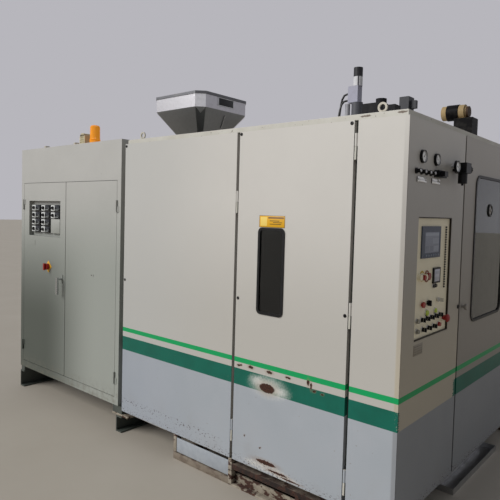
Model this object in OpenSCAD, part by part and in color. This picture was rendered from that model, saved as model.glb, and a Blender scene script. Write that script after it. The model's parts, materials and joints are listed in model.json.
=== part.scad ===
// Extrusion blow moulding machine in a sheet-metal enclosure, with its control cabinet.
// X runs towards the operator end, Y towards the rear and Z up. The origin is on the
// floor under the middle of the machine. Every module draws in "corner" coordinates,
// whose zero is on the floor below the front corner at the operator end: X is negative
// towards the cabinet and Y is positive towards the rear. Sizes are in millimetres.

/* [Enclosure] */
// Length of the guarded enclosure, from the operator end to the cabinet gap
enclosure_l = 1962; // [1900:1:2100]
// Depth of the enclosure, from the front panels to the rear panels
enclosure_w = 1950; // [1930:1:2100]
// Height of the panels' lower edge above the floor
panel_z = 154; // [150:1:170]
// Height of the panels themselves
panel_h = 1782; // [1760:1:1860]
// Depth of a folded panel
panel_d = 30; // [24:1:32]
// Thickness of panel sheet
sheet_t = 2; // [1.5:0.5:3]
// Distance that a panel's folded edges stand in from its outline
fold_inset = 3; // [2:0.5:4]
// Gap between a panel's folds and the frame that carries it
panel_seat = 0.3; // [0.3:0.1:1]
// Width of the upright gaps between front panels
panel_gap = 20; // [18:1:24]
// Distance from the operator end to the middle of the first upright gap
gap_1 = 252; // [240:1:300]
// Distance from the operator end to the middle of the second upright gap
gap_2 = 963; // [900:1:1000]
// Distance from the front to the seam between operator panel and window door
seam_y = 689; // [680:1:720]
// Width of the window door
window_door_w = 884; // [860:1:900]
// Width of the seams on the operator end
seam_gap = 18; // [16:1:20]
// Height of the top rails that show above the panels
trim_h = 24; // [18:1:30]
// Distance that the top rails are set back from the panel faces
trim_set = 12; // [6:1:20]
// Section of the enclosure's posts and sills
post_s = 50; // [40:1:60]

/* [Base] */
// Section of the base frame's square tube
base_tube = 40; // [30:1:50]
// Distance between the middles of neighbouring base posts
base_pitch = 455; // [440:1:470]
// Number of base posts along the front
base_posts = 4; // [3:1:5]
// Distance from the operator end to the middle of the first base post
base_first = 59; // [50:1:80]
// Root gap left at each welded or bolted joint
weld_gap = 0.2; // [0.1:0.1:0.5]
// Height of the deck rails' section
deck_h = 36; // [30:1:40]

/* [Front window] */
// Width over the front window's rubber seal
front_win_w = 172; // [150:1:190]
// Height over the front window's rubber seal
front_win_h = 452; // [400:1:470]
// Distance from the operator end to the middle of the front window
front_win_x = 721; // [650:1:760]
// Height of the front window's middle above the floor
front_win_z = 1207; // [1150:1:1250]
// Visible width of a window seal
seal_w = 14; // [10:1:18]
// Height that a window seal stands proud of its panel
seal_proud = 5; // [3:1:8]
// Thickness of the window glass
glass_t = 5; // [4:1:6]

/* [Operator end] */
// Width over the window door's rubber seal
door_win_w = 550; // [500:1:580]
// Height over the window door's rubber seal
door_win_h = 812; // [760:1:840]
// Height of the window door's glass middle above the floor
door_win_z = 1341; // [1300:1:1380]
// Width of the recess for the controls
recess_w = 401; // [400:1:420]
// Height of the recess for the controls
recess_h = 560; // [550:1:580]
// Depth of the recess for the controls
recess_d = 10; // [8:1:14]
// Distance from the front to the recess
recess_y = 132; // [120:1:140]
// Height of the recess's lower edge above the floor
recess_z = 949; // [940:1:960]
// Depth of the closed wiring box behind the controls
wiring_d = 80; // [60:1:90]

/* [Cabinet] */
// Gap between the cabinet and the enclosure
cabinet_gap = 44; // [36:1:60]
// Width of the cabinet
cabinet_w = 1374; // [1350:1:1500]
// Depth of the cabinet
cabinet_d = 500; // [450:1:560]
// Height of the cabinet's underside above the floor
plinth_h = 175; // [160:1:200]
// Height of the cabinet's body on its plinth
cabinet_h = 1800; // [1780:1:1900]
// Height of the channel under the cabinet's left end
channel_h = 136; // [120:1:140]
// Width of the channels' flanges
channel_w = 60; // [50:1:70]
// Height of the fascia above the doors
fascia_h = 272; // [240:1:290]
// Width of the uprights beside the doors
stile_w = 43; // [38:1:50]
// Height of the strip below the doors
lower_strip = 53; // [40:1:70]
// Gap round the cabinet doors
door_gap = 6; // [5:1:8]
// Depth of a folded cabinet door
cabinet_door_d = 20; // [16:1:24]

/* [Instruments] */
// Width of the instrument window in the left cabinet door
inst_w = 480; // [470:1:500]
// Height of the instrument window
inst_h = 279; // [270:1:290]
// Depth of the instrument window's pan
inst_d = 34; // [30:1:40]
// Width of one instrument
module_w = 130; // [120:1:134]
// Height of one instrument
module_h = 49; // [44:1:52]
// Distance between instrument columns
module_dx = 148; // [144:1:152]
// Distance between instrument rows
module_dz = 56.5; // [54:0.5:60]

/* [Extruder] */
// Distance from the front to the extruder's axis
line_y = 1140; // [1120:1:1160]
// Height of the extruder's axis above the floor
axis_z = 1600; // [1580:1:1620]
// Outer radius of the barrel
barrel_r = 65; // [60:1:70]
// Radius of the screw over its flights
screw_r = 29; // [25:1:32]
// Radial clearance between screw and barrel
screw_clear = 1; // [0.8:0.1:1.5]
// Distance from the operator end to the hopper's middle
hopper_x = 2443; // [2420:1:2480]
// Width of the hopper's square rim
hopper_w = 600; // [560:1:640]
// Width of the chamfer at each hopper corner
hopper_chamfer = 61; // [50:1:70]
// Height of the hopper's upright band
hopper_band = 125; // [100:1:140]
// Height of the hopper's cone
hopper_cone = 340; // [300:1:380]
// Height of the hopper's rim above the floor
hopper_z = 2475; // [2450:1:2500]
// Thickness of the hopper's sheet
hopper_t = 3; // [2:0.5:4]
// Width of the square feed opening
feed_w = 90; // [80:1:100]
// Number of heater bands on the barrel
band_count = 5; // [4:1:6]
// Width of a heater band
band_w = 150; // [120:1:160]

/* [Drive] */
// Distance from the front of the stand's beams to its rear
stand_w = 520; // [500:1:560]
// Section of the extruder stand's tubes
stand_tube = 80; // [70:1:90]
// Radius of the drive motor's frame
motor_r = 150; // [130:1:155]
// Height of the drive motor's axis above the floor
motor_z = 330; // [300:1:360]
// Height of the gearbox's input shaft above the floor
input_z = 1500; // [1490:1:1510]
// Radius of the gearbox pulley
big_pulley_r = 150; // [140:1:160]
// Radius of the motor pulley
small_pulley_r = 80; // [70:1:90]
// Number of drive belts
belt_count = 4; // [3:1:4]
// Distance between neighbouring belts
belt_pitch = 22; // [21:1:24]
// Width of one belt
belt_w = 15; // [13:1:16]

/* [Head] */
// Distance from the operator end to the head's axis
head_x = 905; // [890:1:920]
// Radius of the head's body
head_r = 100; // [90:1:110]
// Height of the die's lower face above the floor
die_z = 1310; // [1300:1:1330]
// Radius of the die's opening
die_r = 24; // [20:1:30]
// Height of the tip of the actuator's cap above the floor
actuator_top = 2520; // [2500:1:2560]

/* [Clamp] */
// Distance from the operator end to the blow pin's axis
blow_x = 545; // [540:1:560]
// Height of the slide rails' upper face above the floor
rail_z = 735; // [720:1:740]
// Distance that each mould half stands back from the parting line when open
mould_open = 100; // [80:1:110]
// Gap left between the closed mould halves
parting = 0.3; // [0.2:0.1:0.5]
// Width of a mould half along the machine
mould_w = 220; // [200:1:240]
// Thickness of a mould half
mould_d = 90; // [80:1:100]
// Height of a mould half
mould_h = 320; // [300:1:330]
// Height of the mould's lower face above the floor
mould_z = 910; // [900:1:920]
// Thickness of a platen
platen_t = 40; // [35:1:45]
// Radius of the tie bars
tie_r = 22; // [20:1:25]
// Radial running clearance of the platens on the tie bars
run_clear = 0.05; // [0.03:0.01:0.08]
// Radius of the blow pin
pin_r = 10; // [8:1:12]
// Distance that the blow pin slides down
pin_stroke = 170; // [160:1:180]
// Radius of the bottle cavity's body
bottle_r = 42; // [38:1:46]

/* [Hidden] */
$fn = 48;
eps = 0.01;

machine_l = enclosure_l + cabinet_gap + cabinet_w;
panel_top = panel_z + panel_h;
trim_z = panel_top + 2;
roof_z = trim_z + trim_h;
in_y = panel_d + panel_seat;
rear_y = enclosure_w - in_y;
left_x = -enclosure_l;
cabinet_x = -enclosure_l - cabinet_gap;
cabinet_left = cabinet_x - cabinet_w;
cabinet_top = plinth_h + cabinet_h;
door_y1 = seam_y + seam_gap / 2 + window_door_w;
deck_z = panel_z + 6;

paint = [0.80, 0.79, 0.74];
paint_grey = [0.62, 0.64, 0.66];
dark_steel = [0.30, 0.31, 0.31];
bright_steel = [0.72, 0.73, 0.74];
black = [0.10, 0.10, 0.11];
rubber = [0.13, 0.13, 0.14];

// Moves corner coordinates so that the origin lies under the middle of the machine
module from_corner() {
    translate([machine_l / 2, -enclosure_w / 2, 0]) children();
}

// A box given by its lowest and highest x, y and z
module block(x, y, z) {
    translate([x[0], y[0], z[0]]) cube([x[1] - x[0], y[1] - y[0], z[1] - z[0]]);
}

// Lays an x-z drawing on the front plane, growing towards the rear
module on_front(y, depth) {
    translate([0, y + depth, 0]) rotate([90, 0, 0]) linear_extrude(depth) children();
}

// Lays a y-z drawing on an end plane, growing towards +X
module on_end(x, depth) {
    translate([x, 0, 0]) rotate([90, 0, 90]) linear_extrude(depth) children();
}

// A bar along X, Y or Z from one point
module bar_x(p, r, l) { translate(p) rotate([0, 90, 0]) cylinder(r = r, h = l); }
module bar_y(p, r, l) { translate(p) rotate([-90, 0, 0]) cylinder(r = r, h = l); }
module bar_z(p, r, l) { translate(p) cylinder(r = r, h = l); }

// Rectangle with round corners, given by its middle
module round_rect(c, w, h, r) {
    translate(c) union() {
        square([w, h - 2 * r], center = true);
        square([w - 2 * r, h], center = true);
        for (i = [-1, 1], j = [-1, 1]) {
            translate([i * (w / 2 - r), j * (h / 2 - r)]) circle(r = r);
        }
    }
}

// Folded panel seen from outside: a skin with its four edges folded inwards.
// It lies in x-y from 0 to w and 0 to h, with its face at z = 0 and its folds below it.
module folded_panel(w, h, d) {
    difference() {
        union() {
            translate([0, 0, -sheet_t]) cube([w, h, sheet_t]);
            translate([fold_inset, fold_inset, -d]) {
                cube([w - 2 * fold_inset, h - 2 * fold_inset, d - sheet_t / 2]);
            }
        }
        translate([fold_inset + sheet_t, fold_inset + sheet_t, -d - 1]) {
            cube([w - 2 * (fold_inset + sheet_t), h - 2 * (fold_inset + sheet_t),
                d - sheet_t + 1]);
        }
    }
}

// Folded panel on the front, on the operator end, on the rear or on the left side
module front_panel(x0, x1) {
    translate([x0, 0, panel_z]) rotate([90, 0, 0]) folded_panel(x1 - x0, panel_h, panel_d);
}
module end_panel(y0, y1) {
    translate([0, y0, panel_z]) rotate([90, 0, 90]) folded_panel(y1 - y0, panel_h, panel_d);
}
module rear_panel(x0, x1) {
    translate([x1, enclosure_w, panel_z]) rotate([90, 0, 180]) {
        folded_panel(x1 - x0, panel_h, panel_d);
    }
}

// Upright lift-off hinge. The pin belongs to the lower half, which is welded to the frame.
hinge_r = 7;
hinge_half = 59;
hinge_space = 1;
hinge_pin_r = 4;
hinge_y = 4;
module hinge_lower(z, r = hinge_r, half = hinge_half) {
    translate([0, 0, z]) {
        cylinder(r = r, h = half);
        cylinder(r = r * 0.57, h = 2 * half - 9);
    }
}
module hinge_upper(z, r = hinge_r, half = hinge_half) {
    translate([0, 0, z + half + hinge_space]) difference() {
        cylinder(r = r, h = half);
        translate([0, 0, -1]) cylinder(r = r * 0.57 + run_clear, h = half - 4);
    }
}

// Heights of the hinges' lower ends on each leaf
left_door_hinges = [252, panel_top - 432];
right_door_hinges = [208, 988, panel_top - 177];
window_door_hinges = [300, 1000, panel_top - 236];
cabinet_hinges = [321, 1488];
cab_hinge_r = 6;
cab_hinge_half = 40;
cab_hinge_y = -7;

// Leaf that joins an enclosure hinge's upper half to the door beside it
module door_leaf(z, side, reach) {
    x = side > 0 ? [hinge_r - 2, reach] : [-reach, -hinge_r + 2];
    block(x, [-1.5, 1.5], [z + hinge_half + hinge_space, z + 2 * hinge_half + hinge_space]);
}

// BASE AND FRAME

base_xs = [for (i = [0 : base_posts - 1]) -(base_first + i * base_pitch)];
base_left = base_xs[base_posts - 1] - base_tube / 2;
base_right = base_xs[0] + base_tube / 2;
base_y = 2;
deck_z0 = deck_z - deck_h;
bridge_z = deck_z0 - 14;
bridge_y = 4;
bridge_l = 90;
skid_x = cabinet_x - 18;

module base_frame() {
    g = weld_gap;
    t = base_tube;
    inner = [base_y + 2 * (t + g), enclosure_w - base_y - 2 * (t + g)];
    color(paint_grey) from_corner() {
        for (front = [true, false]) {
            y0 = front ? base_y : enclosure_w - base_y - t;
            ry0 = front ? y0 + t + g : y0 - g - t;
            block([base_left, base_right], [y0, y0 + t], [0, t]);
            for (x = base_xs) {
                block([x - t / 2, x + t / 2], [y0, y0 + t], [t + g, panel_z - 4]);
            }
            block([left_x + in_y, base_right], [ry0, ry0 + t], [deck_z0, deck_z - g]);
            // Plate that bridges from the support channel to the deck rail
            block([skid_x - 50, left_x + in_y + 28], front ? [bridge_y, bridge_y + bridge_l] :
                [enclosure_w - bridge_y - bridge_l, enclosure_w - bridge_y],
                [bridge_z, deck_z0 - g]);
        }
        // Cross members; the end bay is left open at the floor for the drip tray
        for (i = [0 : base_posts - 1]) {
            x = [base_xs[i] - t / 2, base_xs[i] + t / 2];
            if (i > 0) block(x, [base_y + t + g, enclosure_w - base_y - t - g], [0, t]);
            block(x, inner, [deck_z0, deck_z - g]);
        }
        // Infill plate in the last bay
        block([base_left + t + g, base_xs[base_posts - 2] - t / 2 - g],
            [base_y + t - 4, base_y + t - 1], [t + g, panel_z - 6]);
    }
}

// Middles of the posts along the front
post_xs = [-in_y - post_s / 2, -gap_1, -gap_2, left_x + in_y + post_s / 2];
module enclosure_frame() {
    color(dark_steel) from_corner() {
        // Sills, posts and top rails along the front and the rear
        for (front = [true, false]) {
            y0 = front ? in_y : rear_y - post_s;
            y1 = y0 + post_s;
            block([left_x + in_y, -in_y], [y0, y1], [deck_z, deck_z + post_s]);
            for (i = [0 : 3]) {
                x = !front && i == 1 ? -enclosure_l / 2 : post_xs[i];
                if (front || i != 2) {
                    block([x - post_s / 2, x + post_s / 2], [y0, y1],
                        [deck_z + post_s + weld_gap, trim_z - weld_gap]);
                }
            }
            ty0 = front ? trim_set : y0;
            ty1 = front ? y1 : enclosure_w - trim_set;
            block([left_x + trim_set, -trim_set], [ty0, ty1], [trim_z, roof_z]);
        }
        // Sills, posts and top rails across the ends
        for (right = [true, false]) {
            x1 = right ? -in_y : left_x + in_y + post_s;
            cross = [in_y + post_s + weld_gap, rear_y - post_s - weld_gap];
            block([x1 - post_s, x1], cross, [deck_z, deck_z + post_s]);
            tx = right ? [-in_y - post_s, -trim_set] : [left_x + trim_set, x1];
            block(tx, cross, [trim_z, roof_z]);
        }
        for (y = [seam_y, door_y1 + seam_gap / 2]) {
            block([-in_y - post_s, -in_y], [y - post_s / 2, y + post_s / 2],
                [deck_z + post_s + weld_gap, trim_z - weld_gap]);
        }
        // Lower halves of the door hinges, with the leaves that carry them
        for (z = left_door_hinges) {
            translate([-gap_2, hinge_y, 0]) {
                hinge_lower(z);
                block([-1.5, 1.5], [hinge_r - 2, in_y - hinge_y - weld_gap], [z, z + hinge_half]);
            }
        }
        for (z = right_door_hinges) {
            translate([-gap_1, hinge_y, 0]) {
                hinge_lower(z);
                block([-1.5, 1.5], [hinge_r - 2, in_y - hinge_y - weld_gap], [z, z + hinge_half]);
            }
        }
        for (z = window_door_hinges) {
            translate([-hinge_y, door_y1 + seam_gap / 2, 0]) {
                hinge_lower(z);
                block([-in_y + hinge_y + weld_gap, -hinge_r + 2], [-1.5, 1.5],
                    [z, z + hinge_half]);
            }
        }
    }
}

roof_slot = [line_y - 340, line_y + 340];
roof_end = 300;
module roof_panels() {
    color(paint) from_corner() {
        x = [left_x + trim_set + 4, -trim_set - 4];
        z = [roof_z + weld_gap, roof_z + weld_gap + sheet_t];
        block(x, [trim_set + 4, roof_slot[0]], z);
        block(x, [roof_slot[1], enclosure_w - trim_set - 4], z);
        block([-roof_end, x[1]], [roof_slot[0] + weld_gap, roof_slot[1] - weld_gap], z);
        for (y = [roof_slot[0] - post_s, roof_slot[1]]) {
            block([left_x + in_y + post_s + weld_gap, -in_y - post_s - weld_gap],
                [y, y + post_s], [trim_z, roof_z]);
        }
    }
}

// Louvre field: rows of slots with a hood over each
louvre_w = 220;
louvre_rows = 9;
louvre_dz = 34;
module rear_panels() {
    mid = -enclosure_l / 2;
    color(paint) from_corner() {
        for (s = [[left_x, mid - panel_gap / 2], [mid + panel_gap / 2, 0]]) {
            c = (s[0] + s[1]) / 2;
            difference() {
                rear_panel(s[0], s[1]);
                for (i = [0 : louvre_rows - 1], zf = [420, 1400]) {
                    block([c - louvre_w / 2, c + louvre_w / 2],
                        [enclosure_w - panel_d, enclosure_w + 1],
                        [zf + i * louvre_dz, zf + i * louvre_dz + 10]);
                }
            }
            for (i = [0 : louvre_rows - 1], zf = [420, 1400]) {
                translate([c + louvre_w / 2, enclosure_w - eps, zf + i * louvre_dz + 10]) {
                    rotate([0, -90, 0]) linear_extrude(louvre_w) {
                        polygon([[0, 0], [4, 0], [-9, 8], [-10, 6]]);
                    }
                }
            }
        }
    }
}

// Left side, in four folded sheets that leave a square way through for the barrel
port = 200;
module left_panel(y0, y1, z0, z1) {
    translate([left_x, y1, z0]) rotate([90, 0, -90]) folded_panel(y1 - y0, z1 - z0, panel_d);
}
module left_side_panels() {
    y0 = in_y + fold_inset;
    color(paint) from_corner() {
        left_panel(y0, line_y - port - weld_gap, panel_z, panel_top);
        left_panel(line_y + port + weld_gap, enclosure_w - y0, panel_z, panel_top);
        left_panel(line_y - port, line_y + port, panel_z, axis_z - port);
        left_panel(line_y - port, line_y + port, axis_z + port, panel_top);
    }
}

// FRONT

front_win_hole = [front_win_w - 2 * seal_w + 8, front_win_h - 2 * seal_w + 8];
front_win_corner = 26;
module middle_front_panel() {
    color(paint) from_corner() difference() {
        front_panel(-gap_2 + panel_gap / 2, -gap_1 - panel_gap / 2);
        on_front(-1, panel_d + 2) {
            round_rect([-front_win_x, front_win_z], front_win_hole[0], front_win_hole[1],
                front_win_corner - 6);
        }
    }
}

// A window's rubber profile: a ring that grips the sheet's edge and the glass
module window_seal(w, h, r) {
    difference() {
        round_rect([0, 0], w, h, r);
        round_rect([0, 0], w - 2 * seal_w, h - 2 * seal_w, r - seal_w + 2);
    }
}
module front_window_seal() {
    color(rubber) from_corner() {
        on_front(-seal_proud, seal_proud) translate([-front_win_x, front_win_z]) {
            window_seal(front_win_w, front_win_h, front_win_corner);
        }
    }
}
module front_window_glass() {
    color([0.5, 0.6, 0.6, 0.5]) from_corner() {
        on_front(sheet_t, glass_t) translate([-front_win_x, front_win_z]) {
            round_rect([0, 0], front_win_hole[0] + 24, front_win_hole[1] + 24, front_win_corner);
        }
    }
}

module left_front_door() {
    color(paint) from_corner() {
        front_panel(left_x, -gap_2 - panel_gap / 2);
        for (z = left_door_hinges) {
            translate([-gap_2, hinge_y, 0]) {
                hinge_upper(z);
                door_leaf(z, -1, panel_gap / 2 + fold_inset + sheet_t / 2);
            }
        }
    }
}
module right_front_door() {
    color(paint) from_corner() {
        front_panel(-gap_1 + panel_gap / 2, 0);
        for (z = right_door_hinges) {
            translate([-gap_1, hinge_y, 0]) {
                hinge_upper(z);
                door_leaf(z, 1, panel_gap / 2 + fold_inset + sheet_t / 2);
            }
        }
    }
}

// OPERATOR END

plate_x = -recess_d;
// Height and distance from the front of a point in the recess, from its lower front corner
function in_recess(y, z) = [plate_x, recess_y + y, recess_z + z];
op_y0 = in_y + 3;
op_y1 = seam_y - seam_gap / 2;

module operator_panel() {
    color(paint) from_corner() difference() {
        union() {
            // Face sheet, which reaches forward over the front door's folds
            block([-sheet_t, 0], [4, op_y1], [panel_z, panel_top]);
            translate([0, op_y0, panel_z]) rotate([90, 0, 90]) {
                folded_panel(op_y1 - op_y0, panel_h, panel_d);
            }
            // Wiring box behind the controls
            block([-in_y - wiring_d, -sheet_t], [recess_y - 20, recess_y + recess_w + 20],
                [recess_z - 20, recess_z + recess_h + 20]);
        }
        block([plate_x - sheet_t - weld_gap, 1], [recess_y, recess_y + recess_w],
            [recess_z, recess_z + recess_h]);
        // Room for the backs of the controls
        block([plate_x - wiring_d / 2, 0], [recess_y + 10, recess_y + recess_w - 10],
            [recess_z + 10, recess_z + recess_h - 10]);
    }
}

// Push button or knob on the plate: a bezel ring with an optional bar knob
row_y = [40, 92.5, 145, 197.5, 250, 302.5];
row_z = [88, 41];
lamp_count = 25;
module knob(y, z, r, proud) {
    translate(in_recess(y, z)) rotate([0, 90, 0]) {
        cylinder(r = r + 3, h = 4);
        cylinder(r = r, h = proud);
    }
}
module control_plate() {
    color([0.78, 0.76, 0.70]) from_corner() difference() {
        union() {
            block([plate_x - sheet_t, plate_x], [recess_y + 0.5, recess_y + recess_w - 0.5],
                [recess_z + 0.5, recess_z + recess_h - 0.5]);
            for (y = row_y) knob(y, row_z[0], 10, 16);
            for (y = [for (i = [0 : 4]) 44 + i * 63]) knob(y, row_z[1], 10, 16);
            knob(52, 286, 14, 14);
            knob(94, 286, 14, 20);
            knob(243, 234, 8, 9);
            knob(150, 113, 13, 9);
            knob(252, 113, 11, 9);
            for (i = [0 : lamp_count - 1]) knob(352, 220 + i * 12.2, 1.5, 5);
        }
        for (p = [button_emergency, button_start, button_stop, button_selector, button_key]) {
            translate(in_recess(p[0], p[1]) - [20, 0, 0]) {
                rotate([0, 90, 0]) cylinder(r = stem_r + 0.4, h = 40);
            }
        }
    }
}

// Places on the plate of the controls that move: distance and height in the recess
button_emergency = [355, 65];
button_start = [138, 286];
button_stop = [95, 157];
button_selector = [160, 159];
button_key = [275, 164];
stem_r = 8;
// A control that moves: a stem through the plate with a bezel's width of air round it
module moving_control(p, head_r, bezel, proud) {
    translate(in_recess(p[0], p[1])) rotate([0, 90, 0]) {
        translate([0, 0, -12]) cylinder(r = stem_r, h = bezel + 12 + eps);
        translate([0, 0, bezel]) cylinder(r = head_r, h = proud - bezel);
    }
}
module emergency_button() {
    color("red") from_corner() {
        moving_control(button_emergency, 13, 8, 22);
        translate(in_recess(button_emergency[0], button_emergency[1]) + [21, 0, 0]) {
            rotate([0, 90, 0]) rotate_extrude() {
                polygon([[0, 0], [17, 0], [20, 3], [20, 7], [16, 12], [9, 15], [0, 16]]);
            }
        }
    }
}
module start_button() {
    color("black") from_corner() moving_control(button_start, 17, 6, 16);
}
module stop_button() {
    color("red") from_corner() moving_control(button_stop, 14, 6, 14);
}
module mode_selector() {
    color("black") from_corner() {
        moving_control(button_selector, 14, 5, 9);
        translate(in_recess(button_selector[0], button_selector[1]) + [8.5, -4, -13]) {
            cube([12, 8, 26]);
        }
    }
}
module key_switch() {
    color("silver") from_corner() {
        moving_control(button_key, 11, 5, 11);
        translate(in_recess(button_key[0], button_key[1]) + [10.5, -1.2, -9]) {
            cube([22, 2.4, 18]);
        }
    }
}

module touch_screen() {
    color([0.25, 0.32, 0.40]) from_corner() translate(in_recess(58, 371)) difference() {
        block([0, 6], [0, 218], [0, 147]);
        block([4, 7], [35, 205], [23, 120]);
    }
}
module counter_display() {
    color(black) from_corner() translate(in_recess(205, 247)) difference() {
        block([0, 8], [0, 82], [0, 74]);
        block([5, 9], [9, 73], [30, 64]);
    }
}

// Pressure gauge: case, bezel ring and a sunk face
gauge_r = 29;
module gauge(p, r) {
    translate(p) rotate([0, 90, 0]) rotate_extrude() {
        polygon([[0, 0], [r, 0], [r, 3], [r - 2, 3], [r - 2, 9], [r - 1, 12], [r - 4, 12],
            [r - 5, 8], [0, 8]]);
    }
}
reg_y = [500, 566];
reg_z = panel_top - 184;
air_z = panel_top - 161;
valve_z = panel_top - 228;
reg_x = 46;
module pressure_gauges() {
    color(bright_steel) from_corner() {
        gauge([0, 143, air_z], gauge_r);
        gauge([0, 298, air_z], gauge_r - 1);
        // The third gauge stands on the regulator's port
        translate([reg_x, reg_y[0] - 72, reg_z]) {
            gauge([0, 0, 0], gauge_r);
            bar_y([-12, 0, 0], 7, 72 - weld_gap);
            bar_x([-19, 0, 0], 10, 19.5);
        }
    }
}
module air_regulator() {
    color(black) from_corner() {
        // Two-part body with a bowl below, on a wall bracket
        block([14, 72], reg_y, [reg_z - 24, reg_z + 26]);
        bar_z([43, (reg_y[0] + reg_y[1]) / 2, reg_z - 74], 22, 50 + eps);
        bar_z([43, (reg_y[0] + reg_y[1]) / 2, reg_z - 84], 6, 12);
        block([0, 14 + eps], [reg_y[0] + 10, reg_y[1] - 10], [reg_z - 14, reg_z + 16]);
        bar_y([43, reg_y[1] - eps, reg_z], 15, 16);
    }
}
module regulator_knob() {
    color(black) from_corner() {
        translate([43, reg_y[1] + 16.4, reg_z]) rotate([-90, 0, 0]) difference() {
            cylinder(r = 21, h = 34);
            for (i = [0 : 11]) rotate(i * 30) translate([22, 0, 5]) cylinder(r = 3, h = 40);
        }
    }
}
module solenoid_valve() {
    color(black) from_corner() {
        // Two pairs of ring knobs and a valve block with its coil, on the end face
        for (y = [81, 136, 190, 239]) {
            bar_x([0, y, valve_z], 13, 6);
            bar_x([6 - eps, y, valve_z], 9, 16);
        }
        block([0, 24], [282, 378], [valve_z - 14, valve_z + 18]);
        block([24 - eps, 44], [300, 340], [valve_z - 10, valve_z + 14]);
        block([0, 4], [93, 187], [valve_z - 45, valve_z - 24]);
        block([0, 4], [253, 343], [valve_z - 44, valve_z - 22]);
    }
}

door_y0 = seam_y + seam_gap / 2;
door_win_y = door_y0 + window_door_w / 2;
door_win_corner = 60;
door_win_hole = [door_win_w - 2 * seal_w + 8, door_win_h - 2 * seal_w + 8];
module window_door() {
    color(paint) from_corner() {
        difference() {
            end_panel(door_y0, door_y1);
            on_end(-panel_d - 1, panel_d + 2) {
                round_rect([door_win_y, door_win_z], door_win_hole[0], door_win_hole[1],
                    door_win_corner - 6);
            }
        }
        for (z = window_door_hinges) {
            translate([-hinge_y, door_y1 + seam_gap / 2, 0]) {
                hinge_upper(z);
                block([-1.5, 1.5], [-seam_gap / 2 - fold_inset - sheet_t / 2, -hinge_r + 2],
                    [z + hinge_half + hinge_space, z + 2 * hinge_half + hinge_space]);
            }
        }
        // Pull knob near the free edge
        translate([0, door_y0 + 30, 1042]) rotate([0, 90, 0]) rotate_extrude() {
            polygon([[0, -1], [7, -1], [7, 14], [15, 16], [17, 20], [17, 26], [14, 30], [0, 30]]);
        }
    }
}
module window_door_seal() {
    color(rubber) from_corner() on_end(0, seal_proud) translate([door_win_y, door_win_z]) {
        window_seal(door_win_w, door_win_h, door_win_corner);
    }
}
module window_door_glass() {
    color([0.5, 0.6, 0.6, 0.5]) from_corner() {
        on_end(-sheet_t - glass_t, glass_t) translate([door_win_y, door_win_z]) {
            round_rect([0, 0], door_win_hole[0] + 24, door_win_hole[1] + 24, door_win_corner);
        }
    }
}
module rear_end_panel() {
    color(paint) from_corner() end_panel(door_y1 + seam_gap, enclosure_w - in_y - 3);
}
// Shallow tray that stands on the floor under the window door
tray_y = [760, 1520];
tray_h = 35;
module drip_tray() {
    color(bright_steel) from_corner() difference() {
        block([-100, -10], tray_y, [0, tray_h]);
        block([-100 + sheet_t, -10 - sheet_t], [tray_y[0] + sheet_t, tray_y[1] - sheet_t],
            [sheet_t, tray_h + 1]);
    }
}

// CABINET

cab_y = [0, cabinet_d];
cab_z0 = plinth_h;
doors_z = [cab_z0 + lower_strip + door_gap / 2, cabinet_top - fascia_h - door_gap / 2];
doors_x = [cabinet_left + stile_w + door_gap / 2, cabinet_x - stile_w - door_gap / 2];
doors_mid = (doors_x[0] + doors_x[1]) / 2;
cab_frame_d = 30;
module cabinet_body() {
    t = sheet_t;
    xl = cabinet_left;
    xr = cabinet_x;
    g = weld_gap;
    color(paint) from_corner() {
        block([xl, xl + t], [t + g, cabinet_d], [cab_z0, cabinet_top]);
        block([xr - t, xr], [t + g, cabinet_d], [cab_z0, cabinet_top]);
        block([xl + t + g, xr - t - g], [cabinet_d - t, cabinet_d], [cab_z0, cabinet_top]);
        block([xl + t + g, xr - t - g], [t + g, cabinet_d - t - g], [cabinet_top - t, cabinet_top]);
        block([xl + t + g, xr - t - g], [t + g, cabinet_d - t - g], [cab_z0, cab_z0 + t]);
        // Front frame: fascia, lower strip and two stiles, each folded back at its edges
        block([xl, xr], [0, t], [cabinet_top - fascia_h, cabinet_top]);
        block([xl, xr], [0, t], [cab_z0, cab_z0 + lower_strip]);
        for (x = [[xl, xl + stile_w], [xr - stile_w, xr]]) {
            block(x, [0, t], [cab_z0 + lower_strip + g, cabinet_top - fascia_h - g]);
        }
        for (x = [[xl + t + g, xl + stile_w], [xr - stile_w, xr - t - g]]) {
            block(x, [t + g, cab_frame_d], [cab_z0 + t + g, cabinet_top - t - g]);
        }
        // Lower halves of the door hinges
        for (side = [-1, 1], z = cabinet_hinges) {
            x = side < 0 ? doors_x[0] - door_gap / 2 : doors_x[1] + door_gap / 2;
            translate([x, cab_hinge_y, 0]) {
                hinge_lower(z, cab_hinge_r, cab_hinge_half);
                lx = side < 0 ? [-22, 0] : [0, 22];
                block(lx, [-cab_hinge_y - 3, -cab_hinge_y - weld_gap], [z, z + cab_hinge_half]);
                block([-2, 2], [0, -cab_hinge_y - 2.5], [z, z + cab_hinge_half]);
            }
        }
    }
}
// Support channel along Y, open to the right, from its left edge
module channel(x, y, h) {
    block([x, x + 7], y, [0, h]);
    for (z = [[0, 9], [h - 9, h]]) block([x, x + channel_w], y, z);
}
// Channels under both ends of the cabinet, and the pads that pack it up to its height
module support_channels() {
    g = weld_gap;
    pads = [[bridge_y + 2, bridge_y + bridge_l - 4], [cabinet_d - 90, cabinet_d - 6]];
    color(dark_steel) from_corner() {
        channel(cabinet_left, [0, cabinet_d], channel_h);
        channel(skid_x, [0, cabinet_d + 100], bridge_z - g);
        channel(skid_x, [stand_y[1] + 100, enclosure_w], bridge_z - g);
        for (y = pads) {
            block([cabinet_left + 4, cabinet_left + channel_w - 4], y,
                [channel_h + g, plinth_h - g]);
        }
        block([skid_x - 46, left_x - 6], pads[0], [deck_z0, plinth_h - g]);
        block([skid_x - 46, skid_x + channel_w], pads[1], [bridge_z, plinth_h - g]);
    }
}

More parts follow.
